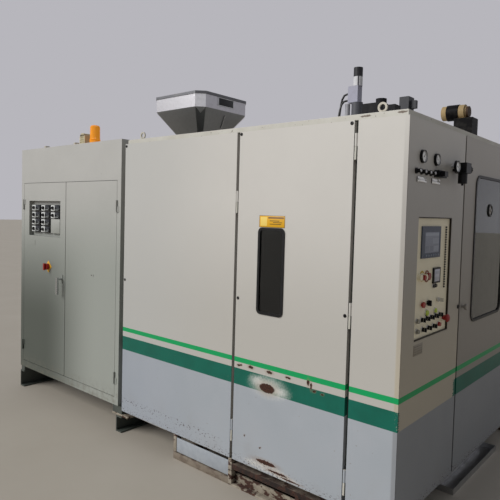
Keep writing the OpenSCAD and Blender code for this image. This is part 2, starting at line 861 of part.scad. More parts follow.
// Rows of contactors, drives and wiring duct on the mounting plate
gear_rows = [[420, 150], [700, 110], [960, 110], [1220, 150], [1500, 110]];
module cabinet_gear() {
    y = cabinet_d - 40;
    x0 = cabinet_left + 40;
    x1 = cabinet_x - 40;
    color([0.70, 0.71, 0.68]) from_corner() {
        block([x0, x1], [y, y + 3], [cab_z0 + 60, cabinet_top - 60]);
        for (r = gear_rows) {
            // Duct below each row, and a rail with its devices
            block([x0 + 20, x1 - 20], [y - 60, y + eps], [r[0] - 70, r[0] - 20]);
            block([x0 + 30, x1 - 30], [y - 10, y + eps], [r[0] + r[1] / 2 - 17, r[0] + r[1] / 2 + 18]);
            n = 9;
            w = (x1 - x0 - 120) / n;
            for (i = [0 : n - 1]) {
                block([x0 + 60 + i * w, x0 + 60 + (i + 1) * w - 10 - 8 * (i % 3)],
                    [y - 90 - 20 * (i % 2), y - 10 + eps], [r[0], r[0] + r[1] - 12 * (i % 2)]);
            }
        }
        for (i = [0 : 3], side = [x0 + 30, x1 - 30]) {
            bar_y([side, y + 3 - eps, cab_z0 + 160 + i * 480], 8, 35 - weld_gap);
        }
    }
}

// Folded cabinet door
module cabinet_door(x0, x1) {
    translate([x0, 0, doors_z[0]]) rotate([90, 0, 0]) {
        folded_panel(x1 - x0, doors_z[1] - doors_z[0], cabinet_door_d);
    }
}
module cabinet_door_hinges(x, side) {
    for (z = cabinet_hinges) {
        translate([x, cab_hinge_y, 0]) {
            hinge_upper(z, cab_hinge_r, cab_hinge_half);
            zz = [z + cab_hinge_half + hinge_space, z + 2 * cab_hinge_half + hinge_space];
            block(side < 0 ? [-22, -cab_hinge_r + 1] : [cab_hinge_r - 1, 22],
                [-cab_hinge_y - 3, -cab_hinge_y + eps], zz);
            block(side < 0 ? [-cab_hinge_r, -cab_hinge_r + 2] : [cab_hinge_r - 2, cab_hinge_r],
                [0, -cab_hinge_y - 2.5], zz);
        }
    }
}

inst_c = [cabinet_left + 369, 1419];
switch_c = [cabinet_left + 443, 1046];
handle_c = [cabinet_left + 640, 968];
boss_r = 8;
module cabinet_left_door() {
    color(paint) from_corner() {
        difference() {
            union() {
                cabinet_door(doors_x[0], doors_mid - door_gap / 2);
                block([inst_c[0] - inst_w / 2 - sheet_t, inst_c[0] + inst_w / 2 + sheet_t],
                    [sheet_t, inst_d + sheet_t],
                    [inst_c[1] - inst_h / 2 - sheet_t, inst_c[1] + inst_h / 2 + sheet_t]);
            }
            block([inst_c[0] - inst_w / 2, inst_c[0] + inst_w / 2], [-1, inst_d],
                [inst_c[1] - inst_h / 2, inst_c[1] + inst_h / 2]);
            for (c = [switch_c, handle_c]) {
                bar_y([c[0], -1, c[1]], boss_r + run_clear, cabinet_door_d);
            }
        }
        cabinet_door_hinges(doors_x[0] - door_gap / 2, 1);
        // Rose of the handle, with the boss's bore going on through it
        difference() {
            block([handle_c[0] - 16, handle_c[0] + 16], [-4, eps], [handle_c[1] - 32, handle_c[1] + 32]);
            bar_y([handle_c[0], -5, handle_c[1]], boss_r + run_clear, 6);
        }
        // Blank plate under the instruments
        block([cabinet_left + 143, cabinet_left + 229], [-1.5, eps], [1201, 1245]);
    }
}
module cabinet_right_door() {
    color(paint) from_corner() {
        cabinet_door(doors_mid + door_gap / 2, doors_x[1]);
        cabinet_door_hinges(doors_x[1] + door_gap / 2, -1);
        bar_y([doors_x[1] - 270, -2, 1034], 9, 2.5);
    }
}
// Swing lever on a round boss through the left door
module cabinet_handle() {
    color(bright_steel) from_corner() translate([handle_c[0], 0, handle_c[1]]) {
        bar_y([0, -30, 0], boss_r, 44);
        block([-9, 9], [-46, -30 + eps], [-116, 12]);
    }
}
// Knob of the rotary main switch
module main_switch() {
    color("red") from_corner() translate([switch_c[0], 0, switch_c[1]]) {
        bar_y([0, -6, 0], boss_r, 20);
        bar_y([0, -28, 0], 24, 23.6);
        block([-7, 7], [-44, -28 + eps], [-26, 26]);
    }
}
// The instruments: a dial and knob on the left of each, a dark panel on the right
module instruments() {
    color(black) from_corner() {
        for (i = [0 : 2], j = [0 : 3]) {
            if (!(i == 2 && j > 1)) {
                x = inst_c[0] + (i - 1) * module_dx;
                z = inst_c[1] + (1.5 - j) * module_dz;
                y = 10;
                block([x - module_w / 2, x + module_w / 2], [y, inst_d - weld_gap],
                    [z - module_h / 2, z + module_h / 2]);
                bar_y([x - module_w / 4, y - 7, z], 13, 7 + eps);
                block([x - module_w / 4 - 2, x - module_w / 4 + 2], [y - 11, y - 6],
                    [z - 12, z + 12]);
            }
        }
    }
}

module beacon() {
    color("orange") from_corner() translate([cabinet_left + 907, 100, cabinet_top]) {
        rotate_extrude() {
            polygon([[0, 0], [38, 0], [38, 30], [34, 34], [39, 34], [39, 38], [36, 44], [35, 128],
                [28, 138], [14, 142], [0, 142]]);
        }
    }
}
module buzzer() {
    color([0.80, 0.76, 0.64]) from_corner() translate([cabinet_left + 778, 100, cabinet_top]) {
        difference() {
            union() {
                block([-34, 34], [-26, 40], [0, 58]);
                bar_y([0, -26, 58], 34, 66);
            }
            for (z = [22, 38, 54, 70]) block([-24, 24], [-27, -20], [z, z + 7]);
        }
    }
}

// Lifting eye: a collar with a ring standing on it
module lifting_eye(p) {
    translate(p) {
        cylinder(r = 16, h = 7);
        translate([0, 4, 25]) rotate([90, 0, 0]) difference() {
            cylinder(r = 23, h = 8);
            translate([0, 0, -1]) cylinder(r = 14, h = 10);
        }
    }
}
module lifting_eyes() {
    color([0.45, 0.45, 0.42]) from_corner() {
        for (x = [left_x + 120, -150], y = [trim_set + 34, enclosure_w - trim_set - 34]) {
            lifting_eye([x, y, roof_z + sheet_t + 2 * weld_gap]);
        }
        for (x = [cabinet_left + 360, cabinet_left + 784]) {
            translate([x, 24, cabinet_top]) cylinder(r = 20, h = 14, $fn = 6);
        }
    }
}

// EXTRUDER

hopper_neck = 150;
throat_top = hopper_z - hopper_band - hopper_cone - hopper_neck;
// Corners of a square with chamfered corners, of half width h and chamfer c
function chamfered(h, c) = [[-h + c, -h], [h - c, -h], [h, -h + c], [h, h - c], [h - c, h],
    [-h + c, h], [-h, h - c], [-h, -h + c]];
function at_height(p, k, z) = [for (q = p) [k * q[0], k * q[1], z]];
rim_t = 16;
module hopper() {
    w = hopper_w / 2;
    n = feed_w / 2;
    t = hopper_t;
    z0 = hopper_z - hopper_band;
    z1 = z0 - hopper_cone;
    outer = chamfered(w, hopper_chamfer);
    inner = chamfered(w - t, hopper_chamfer - t / 2);
    color(bright_steel) from_corner() translate([-hopper_x, line_y, 0]) {
        // Upright band with its folded rim
        difference() {
            union() {
                translate([0, 0, z0]) linear_extrude(hopper_band) polygon(outer);
                translate([0, 0, hopper_z - rim_t]) linear_extrude(rim_t) {
                    polygon(chamfered(w + t, hopper_chamfer + t / 2));
                }
            }
            translate([0, 0, z0 - 1]) linear_extrude(hopper_band + 2) polygon(inner);
        }
        // Cone, which narrows to the square neck
        polyhedron(
            points = concat(at_height(outer, 1, z0 - weld_gap), at_height(outer, (n + t) / w, z1),
                at_height(inner, 1, z0 - weld_gap), at_height(inner, n / (w - t), z1)),
            faces = [for (i = [0 : 7]) let (j = (i + 1) % 8) each [
                [i, j, 8 + j, 8 + i], [16 + j, 16 + i, 24 + i, 24 + j],
                [j, i, 16 + i, 16 + j], [8 + i, 8 + j, 24 + j, 24 + i]]]);
        // Neck on its flange
        difference() {
            union() {
                block([-n - t, n + t], [-n - t, n + t], [throat_top, z1 - weld_gap]);
                block([-n - 38, n + 38], [-n - 38, n + 38], [throat_top, throat_top + 10]);
            }
            block([-n, n], [-n, n], [throat_top - 1, z1]);
        }
    }
}

feed_x = [-hopper_x - 110, -hopper_x + 110];
barrel_end = -head_x - head_r - 90;
gearbox_x = [feed_x[0] - 420, feed_x[0] - 8];
stand_y = [line_y - stand_w / 2, line_y + stand_w / 2];
stand_x = [gearbox_x[0] - 40, left_x - 60];
stand_top = axis_z - 200;

module extruder_stand() {
    s = stand_tube;
    g = weld_gap;
    color(dark_steel) from_corner() {
        for (y = [stand_y[0], stand_y[1] - s]) {
            block([stand_x[0] - 90, base_left - g], [y, y + s], [0, s]);
            for (x = [stand_x[0], -hopper_x - s / 2, stand_x[1] - s]) {
                block([x, x + s], [y, y + s], [s + g, stand_top - s - g]);
            }
            block([stand_x[0], stand_x[1]], [y, y + s], [stand_top - s, stand_top]);
        }
        cross = [stand_y[0] + s + g, stand_y[1] - s - g];
        for (x = [stand_x[0], stand_x[1] - s]) block([x, x + s], cross, [stand_top - s, stand_top]);
        for (x = [stand_x[0], motor_x[0] + 60, motor_x[1] - 140, stand_x[1] - s,
            -machine_l / 2 - s / 2]) {
            block([x, x + s], cross, [0, s]);
        }
        // Plates that carry the gearbox, the feed housing and the motor
        block([gearbox_x[0], feed_x[1]], stand_y, [stand_top + g, stand_top + 20]);
        block([motor_x[0] - 20, motor_x[1] + 20], cross, [s + g, s + 16]);
        // Barrel saddle at the enclosure end
        block([stand_x[1] - 60, stand_x[1] - 20], [line_y - 100, line_y + 100],
            [stand_top + g, axis_z - barrel_r - weld_gap]);
    }
}

module extruder_barrel() {
    color([0.55, 0.55, 0.54]) from_corner() difference() {
        union() {
            bar_x([feed_x[1] - eps, line_y, axis_z], barrel_r, barrel_end - feed_x[1]);
            block(feed_x, [line_y - 95, line_y + 95], [stand_top + 20 + weld_gap, throat_top - weld_gap]);
            bar_x([feed_x[1] - eps, line_y, axis_z], barrel_r + 30, 26);
            bar_x([barrel_end - 30, line_y, axis_z], barrel_r + 25, 30);
        }
        bar_x([feed_x[0] - 1, line_y, axis_z], screw_r + screw_clear, barrel_end - feed_x[0] + 2);
        block([-hopper_x - feed_w / 2, -hopper_x + feed_w / 2],
            [line_y - screw_r - screw_clear, line_y + screw_r + screw_clear],
            [axis_z, throat_top + 1]);
        translate([0, 0, throat_top - 30]) {
            block([-hopper_x - feed_w / 2, -hopper_x + feed_w / 2],
                [line_y - feed_w / 2, line_y + feed_w / 2], [0, 31]);
        }
    }
}

// Screw: a core with one helical flight, and a plain shank into the gearbox
screw_pitch = 58;
screw_core = 19;
module extruder_screw() {
    l = floor((barrel_end - 20 - feed_x[0] - 60) / screw_pitch) * screw_pitch;
    color(bright_steel) from_corner() translate([feed_x[0] + 40, line_y, axis_z]) {
        rotate([0, 90, 0]) {
            linear_extrude(l, twist = -360 * l / screw_pitch, slices = 6 * l / screw_pitch, $fn = 14) {
                circle(r = screw_core, $fn = 12);
                translate([0, -4]) square([screw_r, 8]);
            }
            translate([0, 0, l]) cylinder(r1 = screw_core, r2 = 2, h = 30);
        }
        bar_x([-150, 0, 0], screw_core, 150 + eps);
        bar_x([-34, 0, 0], screw_r, 30);
    }
}

// Clamped heater bands, each with a terminal box and a clamp lug
band_x0 = feed_x[1] + 60;
band_x1 = barrel_end - 40;
band_pitch = (band_x1 - band_x0) / band_count;
module heater_bands() {
    color([0.66, 0.62, 0.55]) from_corner() {
        for (i = [0 : band_count - 1]) {
            x = band_x0 + (i + 0.5) * band_pitch - band_w / 2;
            difference() {
                union() {
                    bar_x([x, line_y, axis_z], barrel_r + 9, band_w);
                    block([x + 50, x + 100], [line_y - 22, line_y + 22],
                        [axis_z + barrel_r, axis_z + barrel_r + 40]);
                    block([x + 10, x + band_w - 10], [line_y - 8, line_y + 8],
                        [axis_z - barrel_r - 24, axis_z - barrel_r]);
                }
                bar_x([x - 1, line_y, axis_z], barrel_r + 0.1, band_w + 2);
                block([x - 1, x + band_w + 1], [line_y - 1.5, line_y + 1.5],
                    [axis_z - barrel_r - 25, axis_z - barrel_r + 10]);
            }
        }
    }
}

// Cast gearbox: a split housing with ribs, feet, bearing caps and its input shaft
pulley_x = gearbox_x[0] - 150;
module gearbox() {
    x0 = gearbox_x[0];
    x1 = gearbox_x[1];
    color([0.35, 0.42, 0.38]) from_corner() difference() {
        union() {
            block([x0 + 20, x1 - 20], [line_y - 150, line_y + 150],
                [stand_top + 20 + weld_gap, axis_z + 170]);
            block([x0, x1], [line_y - 190, line_y + 190],
                [stand_top + 20 + weld_gap, stand_top + 45]);
            block([x0 + 8, x1 - 8], [line_y - 175, line_y + 175], [axis_z - 12, axis_z + 12]);
            for (i = [0 : 4]) {
                x = x0 + 50 + i * (x1 - x0 - 112) / 4;
                block([x, x + 12], [line_y - 175, line_y + 175], [stand_top + 40, axis_z + 150]);
            }
            bar_x([x1 - 20 - eps, line_y, axis_z], 85, 20);
            bar_x([x0 - 10, line_y, axis_z], 75, 31);
            bar_x([x0 - 10, line_y, input_z], 52, 31);
            bar_x([pulley_x - 20, line_y, input_z], 20, 180);
            bar_z([x0 + 120, line_y, axis_z + 169], 22, 30);
            bar_z([x1 - 120, line_y + 60, axis_z + 169], 12, 50);
        }
        bar_x([x1 - 150, line_y, axis_z], screw_core + 1, 151);
    }
}

groove = 12;
module vee_pulley(r) {
    w = belt_count * belt_pitch + 8;
    difference() {
        cylinder(r = r, h = w);
        for (i = [0 : belt_count - 1]) {
            translate([0, 0, 4 + (i + 0.5) * belt_pitch]) rotate_extrude() {
                polygon([[r - groove - 1, -belt_w / 2 + 1], [r + 1, -belt_w / 2 - 1.5],
                    [r + 1, belt_w / 2 + 1.5], [r - groove - 1, belt_w / 2 - 1]]);
            }
        }
        translate([0, 0, -1]) cylinder(r = 20 + run_clear, h = w + 2);
        for (i = [0 : 4]) {
            rotate(i * 72) translate([r * 0.55, 0, -1]) cylinder(r = r * 0.16, h = w + 2);
        }
    }
}
module pulley_at(r, z) {
    translate([pulley_x, line_y, z]) rotate([0, 90, 0]) vee_pulley(r);
}
module gearbox_pulley() { color(dark_steel) from_corner() pulley_at(big_pulley_r, input_z); }
module motor_pulley() { color(dark_steel) from_corner() pulley_at(small_pulley_r, motor_z); }

// Belts: loops that lie in the grooves of both pulleys
belt_sink = groove - 1;
module belt_outline(grow) {
    hull() {
        translate([-input_z, 0]) circle(r = big_pulley_r - belt_sink + grow);
        translate([-motor_z, 0]) circle(r = small_pulley_r - belt_sink + grow);
    }
}
module drive_belts() {
    color(rubber) from_corner() translate([pulley_x, line_y, 0]) rotate([0, 90, 0]) {
        for (i = [0 : belt_count - 1]) {
            translate([0, 0, 4 + (i + 0.5) * belt_pitch - belt_w / 2 + 1.2]) {
                linear_extrude(belt_w - 2.4) difference() {
                    belt_outline(groove - 2);
                    belt_outline(0.4);
                }
            }
        }
    }
}

guard_t = 2;
module belt_guard() {
    x0 = pulley_x - 40;
    d = stand_x[0] - weld_gap - x0;
    color(paint) from_corner() difference() {
        translate([x0, line_y, 0]) rotate([0, 90, 0]) linear_extrude(d) guard_outline(0);
        translate([x0 + guard_t, line_y, 0]) rotate([0, 90, 0]) linear_extrude(d) {
            guard_outline(-guard_t);
        }
        for (z = [motor_z + 60 : 60 : input_z + 60], y = [-70, 10]) {
            block([x0 - 1, x0 + guard_t + 1], [line_y + y, line_y + y + 60], [z, z + 14]);
        }
    }
}
module guard_outline(grow) {
    hull() {
        translate([-input_z, 0]) circle(r = big_pulley_r + 40 + grow);
        translate([-motor_z, 0]) circle(r = big_pulley_r + 20 + grow);
    }
}

// Finned motor with its feet, end shields, fan cowl and terminal box
motor_x = [stand_x[0] + 130, stand_x[0] + 700];
fin_count = 20;
module drive_motor() {
    x0 = motor_x[0];
    l = motor_x[1] - motor_x[0];
    color([0.30, 0.40, 0.46]) from_corner() {
        translate([x0, line_y, motor_z]) rotate([0, 90, 0]) {
            cylinder(r = motor_r - 14, h = l);
            cylinder(r = motor_r - 4, h = 40);
            translate([0, 0, l - 40]) cylinder(r = motor_r - 4, h = 40);
            translate([0, 0, l - eps]) cylinder(r = motor_r - 8, h = 90);
            for (i = [0 : fin_count - 1]) {
                rotate(i * 360 / fin_count) translate([motor_r - 16, -3, 40 - eps]) {
                    cube([16, 6, l - 80 + 2 * eps]);
                }
            }
        }
        bar_x([pulley_x - 20, line_y, motor_z], 20, x0 - pulley_x + 20 + eps);
        for (x = [x0 + 70, x0 + l - 130], y = [-130, 60]) {
            block([x, x + 60], [line_y + y, line_y + y + 70],
                [stand_tube + 16 + weld_gap, motor_z - 60]);
        }
        block([x0 + 180, x0 + 340], [line_y - 60, line_y + 60],
            [motor_z + motor_r - 20, motor_z + motor_r + 60]);
    }
}

// HEAD AND ACTUATOR

head_top = axis_z + 180;
module extrusion_head() {
    color([0.50, 0.49, 0.47]) from_corner() translate([-head_x, line_y, 0]) difference() {
        union() {
            translate([0, 0, die_z]) cylinder(r = 60, h = 40);
            translate([0, 0, die_z + 40 - eps]) cylinder(r1 = 60, r2 = head_r, h = 60);
            translate([0, 0, die_z + 100 - 2 * eps]) cylinder(r = head_r, h = head_top - die_z - 100);
            for (z = [die_z + 110, axis_z + 110]) translate([0, 0, z]) cylinder(r = head_r + 16, h = 30);
            bar_x([-head_r - 90 + weld_gap, 0, axis_z], barrel_r + 25, 30);
            bar_x([-head_r - 62, 0, axis_z], barrel_r, 90);
            for (i = [0 : 2]) {
                translate([0, 0, die_z + 150 + i * 42]) cylinder(r = head_r + 8, h = 34);
            }
        }
        translate([0, 0, die_z - 1]) cylinder(r = die_r, h = 60);
    }
}

stack = [[0, 33, 120], [120, 39, 150], [150, 34, 300]];
module head_actuator() {
    color([0.75, 0.75, 0.78]) from_corner() translate([-head_x, line_y, 0]) {
        // Yoke on the head with the cylinder, the valve block, the sensor tube and its cap
        for (x = [-70, 50]) block([x, x + 20], [-20, 20], [head_top + weld_gap, head_top + 150]);
        block([-75, 75], [-40, 40], [head_top + 150 - eps, head_top + 175]);
        bar_z([0, 0, head_top + weld_gap], 14, 160);
        bar_z([0, 0, head_top + 174], 38, actuator_top - 236 - head_top - 174);
        block([-58, 17], [-30, 30], [actuator_top - 237, actuator_top - 125]);
        bar_z([0, 0, actuator_top - 126], 31, 64);
        bar_z([0, 0, actuator_top - 63], 31, 63);
        bar_z([-74, 0, head_top + 300], 17, 200);
        block([-74, 0], [-8, 8], [head_top + 340, head_top + 370]);
    }
}

// Two hoses from the valve block down to the head
hose_r = 7;
hose_a = [[-58, 0, 2350], [-80, 0, 2350], [-104, 2, 2344], [-122, 4, 2318], [-132, 6, 2280],
    [-140, 8, 2230], [-148, 10, 2170], [-154, 12, 2100], [-154, 14, 2030], [-146, 14, 1960],
    [-130, 12, 1900], [-110, 6, 1862], [-92, 0, 1850], [-76.2, 0, 1850]];
hose_b = [[-58, -20, 2300], [-72, -20, 2300], [-90, -25, 2296], [-104, -32, 2276],
    [-112, -38, 2240], [-118, -44, 2190], [-124, -50, 2120], [-126, -54, 2040],
    [-122, -56, 1970], [-112, -54, 1910], [-100, -40, 1872], [-90, -16, 1862], [-84, -12, 1858], [-76.2, -12, 1858]];
function unit(v) = v / norm(v);
function path_dir(p, i) = unit(p[min(i + 1, len(p) - 1)] - p[max(i - 1, 0)]);
function ring(p, i, r, n) =
    let (d = path_dir(p, i), s = unit(cross([0, 1, 0.02], d)), u = cross(d, s))
    [for (k = [0 : n - 1]) p[i] + r * (cos(360 * k / n) * s + sin(360 * k / n) * u)];
module hose(p, r, n = 10) {
    m = len(p);
    polyhedron(
        points = [for (i = [0 : m - 1], q = ring(p, i, r, n)) q],
        faces = concat(
            [[for (k = [0 : n - 1]) k]],
            [[for (k = [n - 1 : -1 : 0]) (m - 1) * n + k]],
            [for (i = [0 : m - 2], k = [0 : n - 1])
                [i * n + k, (i + 1) * n + k, (i + 1) * n + (k + 1) % n, i * n + (k + 1) % n]]));
}
module actuator_hoses() {
    color(black) from_corner() translate([-head_x, line_y, 0]) {
        hose([for (q = hose_a) q - [weld_gap, 0, 0]], hose_r);
        hose([for (q = hose_b) q - [weld_gap, 0, 0]], hose_r);
    }
}

// CLAMP UNIT

bed_x = [-head_x - 260, -blow_x + 260];
bed_ys = [line_y - 300, line_y + 300];
bed_plate_t = 12;
rail_w = 34;
rail_h = 35;
module clamp_bed() {
    s = 80;
    g = weld_gap;
    top = rail_z - rail_h;
    color(dark_steel) from_corner() {
        for (y = bed_ys) {
            block(bed_x, [y - s / 2, y + s / 2], [top - s, top - g]);
            for (x = [bed_x[0], bed_x[1] - s]) {
                block([x, x + s], [y - s / 2, y + s / 2], [deck_z + g + bed_plate_t, top - s - g]);
            }
            block(bed_x, [y - rail_w / 2, y + rail_w / 2], [top, rail_z]);
            block([base_left, -in_y - post_s - g], [y - 60, y + 60], [deck_z, deck_z + bed_plate_t]);
        }
        for (x = [bed_x[0], bed_x[1] - s]) {
            block([x, x + s], [bed_ys[0] + s / 2 + g, bed_ys[1] - s / 2 - g], [top - s, top - g]);
        }
    }
}

tie_x = 140;
tie_z = [mould_z - 40, mould_z + mould_h + 40];
yoke_y = 500;
yoke_t = 40;
cyl_r = 60;
cyl_l = 220;
rod_r = 25;
module clamp_carriage() {
    color([0.42, 0.46, 0.50]) from_corner() translate([-head_x, line_y, 0]) difference() {
        union() {
            // Base plate on four runner blocks that straddle the rails
            block([-190, 190], [-yoke_y, yoke_y], [rail_z + 20, rail_z + 55]);
            for (x = [-180, 80], y = [-300, 300]) {
                block([x, x + 100], [y - 45, y + 45], [rail_z - 24, rail_z + 20 + eps]);
            }
            // Two yokes with their tie bars and clamp cylinders
            for (s = [-1, 1]) {
                y0 = s < 0 ? -yoke_y : yoke_y - yoke_t;
                block([-180, 180], [y0, y0 + yoke_t], [rail_z + 55 - eps, tie_z[1] + 50]);
                bar_y([0, s < 0 ? -yoke_y - cyl_l : yoke_y - eps, mould_z + mould_h / 2],
                    cyl_r, cyl_l + eps);
            }
            for (x = [-tie_x, tie_x], z = tie_z) bar_y([x, -yoke_y - 20, z], tie_r, 2 * yoke_y + 40);
        }
        for (x = [-180, 80], y = [-300, 300]) {
            block([x - 1, x + 101], [y - rail_w / 2 - 0.5, y + rail_w / 2 + 0.5],
                [rail_z - 25, rail_z + 0.5]);
        }
        for (s = [-1, 1]) {
            bar_y([0, s < 0 ? -yoke_y - cyl_l + 20 : yoke_y - yoke_t - 1, mould_z + mould_h / 2],
                rod_r + 0.5, cyl_l + 21);
        }
    }
}

// One mould half with its platen and clamp rod, drawn on the front side of the parting line
rod_l = 430;
module mould_half() {
    y1 = -mould_open - parting / 2;
    y0 = y1 - mould_d;
    zc = mould_z + mould_h / 2;
    difference() {
        union() {
            block([-mould_w / 2, mould_w / 2], [y0, y1], [mould_z, mould_z + mould_h]);
            block([-175, 175], [y0 - platen_t, y0 + eps], [tie_z[0] - 40, tie_z[1] + 36]);
            bar_y([0, y0 - platen_t - rod_l, zc], rod_r, rod_l + eps);
        }
        for (x = [-tie_x, tie_x], z = tie_z) {
            bar_y([x, y0 - platen_t - 1, z], tie_r + run_clear, platen_t + 3);
        }
        // Half of the bottle: body, shoulder and neck, open at the top for the parison
        translate([0, y1 + parting / 2, mould_z]) rotate_extrude() {
            polygon([[0, 40], [bottle_r - 8, 40], [bottle_r, 48], [bottle_r, 190],
                [bottle_r - 10, 215], [22, 240], [15, 250], [15, mould_h + 1], [0, mould_h + 1]]);
        }
        // Cooling bores through the half
        for (x = [-80, 80], z = [60, 250]) {
            translate([x, y0 + 40, mould_z + z]) rotate([0, x < 0 ? -90 : 90, 0]) {
                translate([0, 0, -5]) cylinder(r = 6, h = 60);
            }
        }
    }
}
module front_mould() {
    color([0.74, 0.75, 0.76]) from_corner() translate([-head_x, line_y, 0]) mould_half();
}
module rear_mould() {
    color([0.74, 0.75, 0.76]) from_corner() translate([-head_x, line_y, 0]) {
        mirror([0, 1, 0]) mould_half();
    }
}

arm_z = head_top - 60;
arm_y = 300;
arm_t = 12;
rod_bore = 180;
pin_tip = tie_z[1] + tie_r + 10;
module blow_station() {
    g = weld_gap;
    s = 60;
    px = [bed_x[0] - 100, bed_x[0] - 40];
    color(dark_steel) from_corner() {
        for (side = [-1, 1]) {
            y = line_y + side * arm_y;
            block(px, [y - s / 2, y + s / 2], [deck_z + bed_plate_t + g, arm_z - g]);
            block([px[0], -blow_x + 90], [y - s / 2, y + s / 2], [arm_z, arm_z + 70]);
        }
        // Cross plate with the cylinder that drives the pin, its valve block and its plug
        difference() {
            union() {
                block([-blow_x - 80, -blow_x + 80],
                    [line_y - arm_y + s / 2 + g, line_y + arm_y - s / 2 - g], [arm_z, arm_z + arm_t]);
                bar_z([-blow_x, line_y, arm_z + arm_t - eps], 50, 320);
                bar_z([-blow_x, line_y, arm_z - 60], 40, 60 + eps);
                block([-blow_x - 32, -blow_x + 32], [line_y - 40, line_y + 40],
                    [arm_z + arm_t + 319, 2275]);
                block([-blow_x + 32 - eps, -blow_x + 68], [line_y - 14, line_y + 14], [2200, 2250]);
            }
            bar_z([-blow_x, line_y, arm_z - 61], 20 + run_clear, 61 + rod_bore);
        }
    }
}
module blow_pin() {
    collar = mould_z + mould_h + pin_stroke + 10;
    color(bright_steel) from_corner() translate([-blow_x, line_y, 0]) {
        bar_z([0, 0, pin_tip], pin_r, collar - pin_tip + eps);
        bar_z([0, 0, collar], 34, 26);
        bar_z([0, 0, collar + 26 - eps], 20, arm_z + rod_bore - 10 - collar - 26);
    }
}

// Fan motor, valve box and flat connector on the roof
module roof_units() {
    z = roof_z + sheet_t + 2 * weld_gap;
    y = 900;
    color([0.55, 0.52, 0.46]) from_corner() {
        // Motor on its dark box, over the operator end
        bar_x([-209, y, z + 134], 40, 28);
        bar_x([-182, y, z + 134], 44, 66);
        bar_x([-117, y, z + 134], 41, 33);
        bar_x([-85, y, z + 134], 30, 21);
        block([-132, -31], [y - 45, y + 45], [z, z + 96]);
        // Valve box with its round cap, and a lower cable box
        block([-348, -244], [215, 285], [z, z + 90]);
        bar_z([-264, 250, z + 90 - eps], 26, 21);
        block([-243, -177], [220, 280], [z, z + 73]);
    }
}

base_frame();
enclosure_frame();
roof_panels();
rear_panels();
left_side_panels();
middle_front_panel();
front_window_seal();
front_window_glass();
left_front_door();
right_front_door();
operator_panel();
control_plate();
touch_screen();
counter_display();
emergency_button();
start_button();
stop_button();
mode_selector();
key_switch();
pressure_gauges();
air_regulator();
regulator_knob();
solenoid_valve();
window_door();
window_door_seal();
window_door_glass();
rear_end_panel();
drip_tray();
cabinet_body();
support_channels();
cabinet_gear();
cabinet_left_door();
cabinet_right_door();
cabinet_handle();
main_switch();
instruments();
beacon();
buzzer();
lifting_eyes();
hopper();
extruder_stand();
extruder_barrel();
extruder_screw();
heater_bands();
gearbox();
gearbox_pulley();
drive_motor();
motor_pulley();
drive_belts();
belt_guard();
extrusion_head();
head_actuator();
actuator_hoses();
clamp_bed();
clamp_carriage();
front_mould();
rear_mould();
blow_station();
blow_pin();
roof_units();
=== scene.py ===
"""Looks of a blow moulding machine in its sheet-metal enclosure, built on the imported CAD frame."""
import functools
import json
import math

import bmesh
import bpy
from mathutils import Matrix, Vector


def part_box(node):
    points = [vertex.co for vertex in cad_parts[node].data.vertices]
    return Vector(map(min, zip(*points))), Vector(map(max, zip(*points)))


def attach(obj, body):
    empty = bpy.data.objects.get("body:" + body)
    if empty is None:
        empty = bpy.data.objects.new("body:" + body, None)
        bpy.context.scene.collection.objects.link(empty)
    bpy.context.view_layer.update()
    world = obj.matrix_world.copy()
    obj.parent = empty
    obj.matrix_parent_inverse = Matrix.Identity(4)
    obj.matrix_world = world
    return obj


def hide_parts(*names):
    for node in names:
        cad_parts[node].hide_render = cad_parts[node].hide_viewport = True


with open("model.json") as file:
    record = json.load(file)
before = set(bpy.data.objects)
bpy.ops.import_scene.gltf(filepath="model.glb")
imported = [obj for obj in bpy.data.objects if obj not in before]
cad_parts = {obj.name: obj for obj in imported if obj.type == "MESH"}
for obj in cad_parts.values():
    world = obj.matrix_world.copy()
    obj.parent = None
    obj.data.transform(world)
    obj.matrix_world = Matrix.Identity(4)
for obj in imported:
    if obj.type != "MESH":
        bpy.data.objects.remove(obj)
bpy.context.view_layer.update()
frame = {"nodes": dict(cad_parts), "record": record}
scene = bpy.context.scene
nodes = frame["nodes"]

MM = 0.001
# The enclosure's front right corner at the floor; all sizes below are millimetres from it.
CORNER = Vector((1.690, -0.975, 0.0))
# Where the end face, the front, the rear and the left side look
OUT, TO_FRONT, TO_REAR, TO_LEFT = (1, 0, 0), (0, -1, 0), (0, 1, 0), (-1, 0, 0)

# Heights of the painted fields on the enclosure, in millimetres
BLUE_TOP = 575.6
THICK_STRIPE = (575.65, 664.65)
THIN_STRIPE = (698.8, 725.4)

# Colours that several finishes share
DIRT = "#6B665C"
RUST_DARK, RUST_LIGHT = "#261813", "#4E2E20"


def spot(x, y, z):
    """A point in millimetres from the corner, as metres in the model's frame."""
    return Vector((x, y, z)) * MM + CORNER


# Node trees


def linear(colour):
    """An sRGB hex colour as the linear colour that a shader takes."""
    values = [int(colour[i:i + 2], 16) / 255 for i in (1, 3, 5)]
    return [v / 12.92 if v <= 0.04045 else ((v + 0.055) / 1.055) ** 2.4 for v in values] + [1.0]


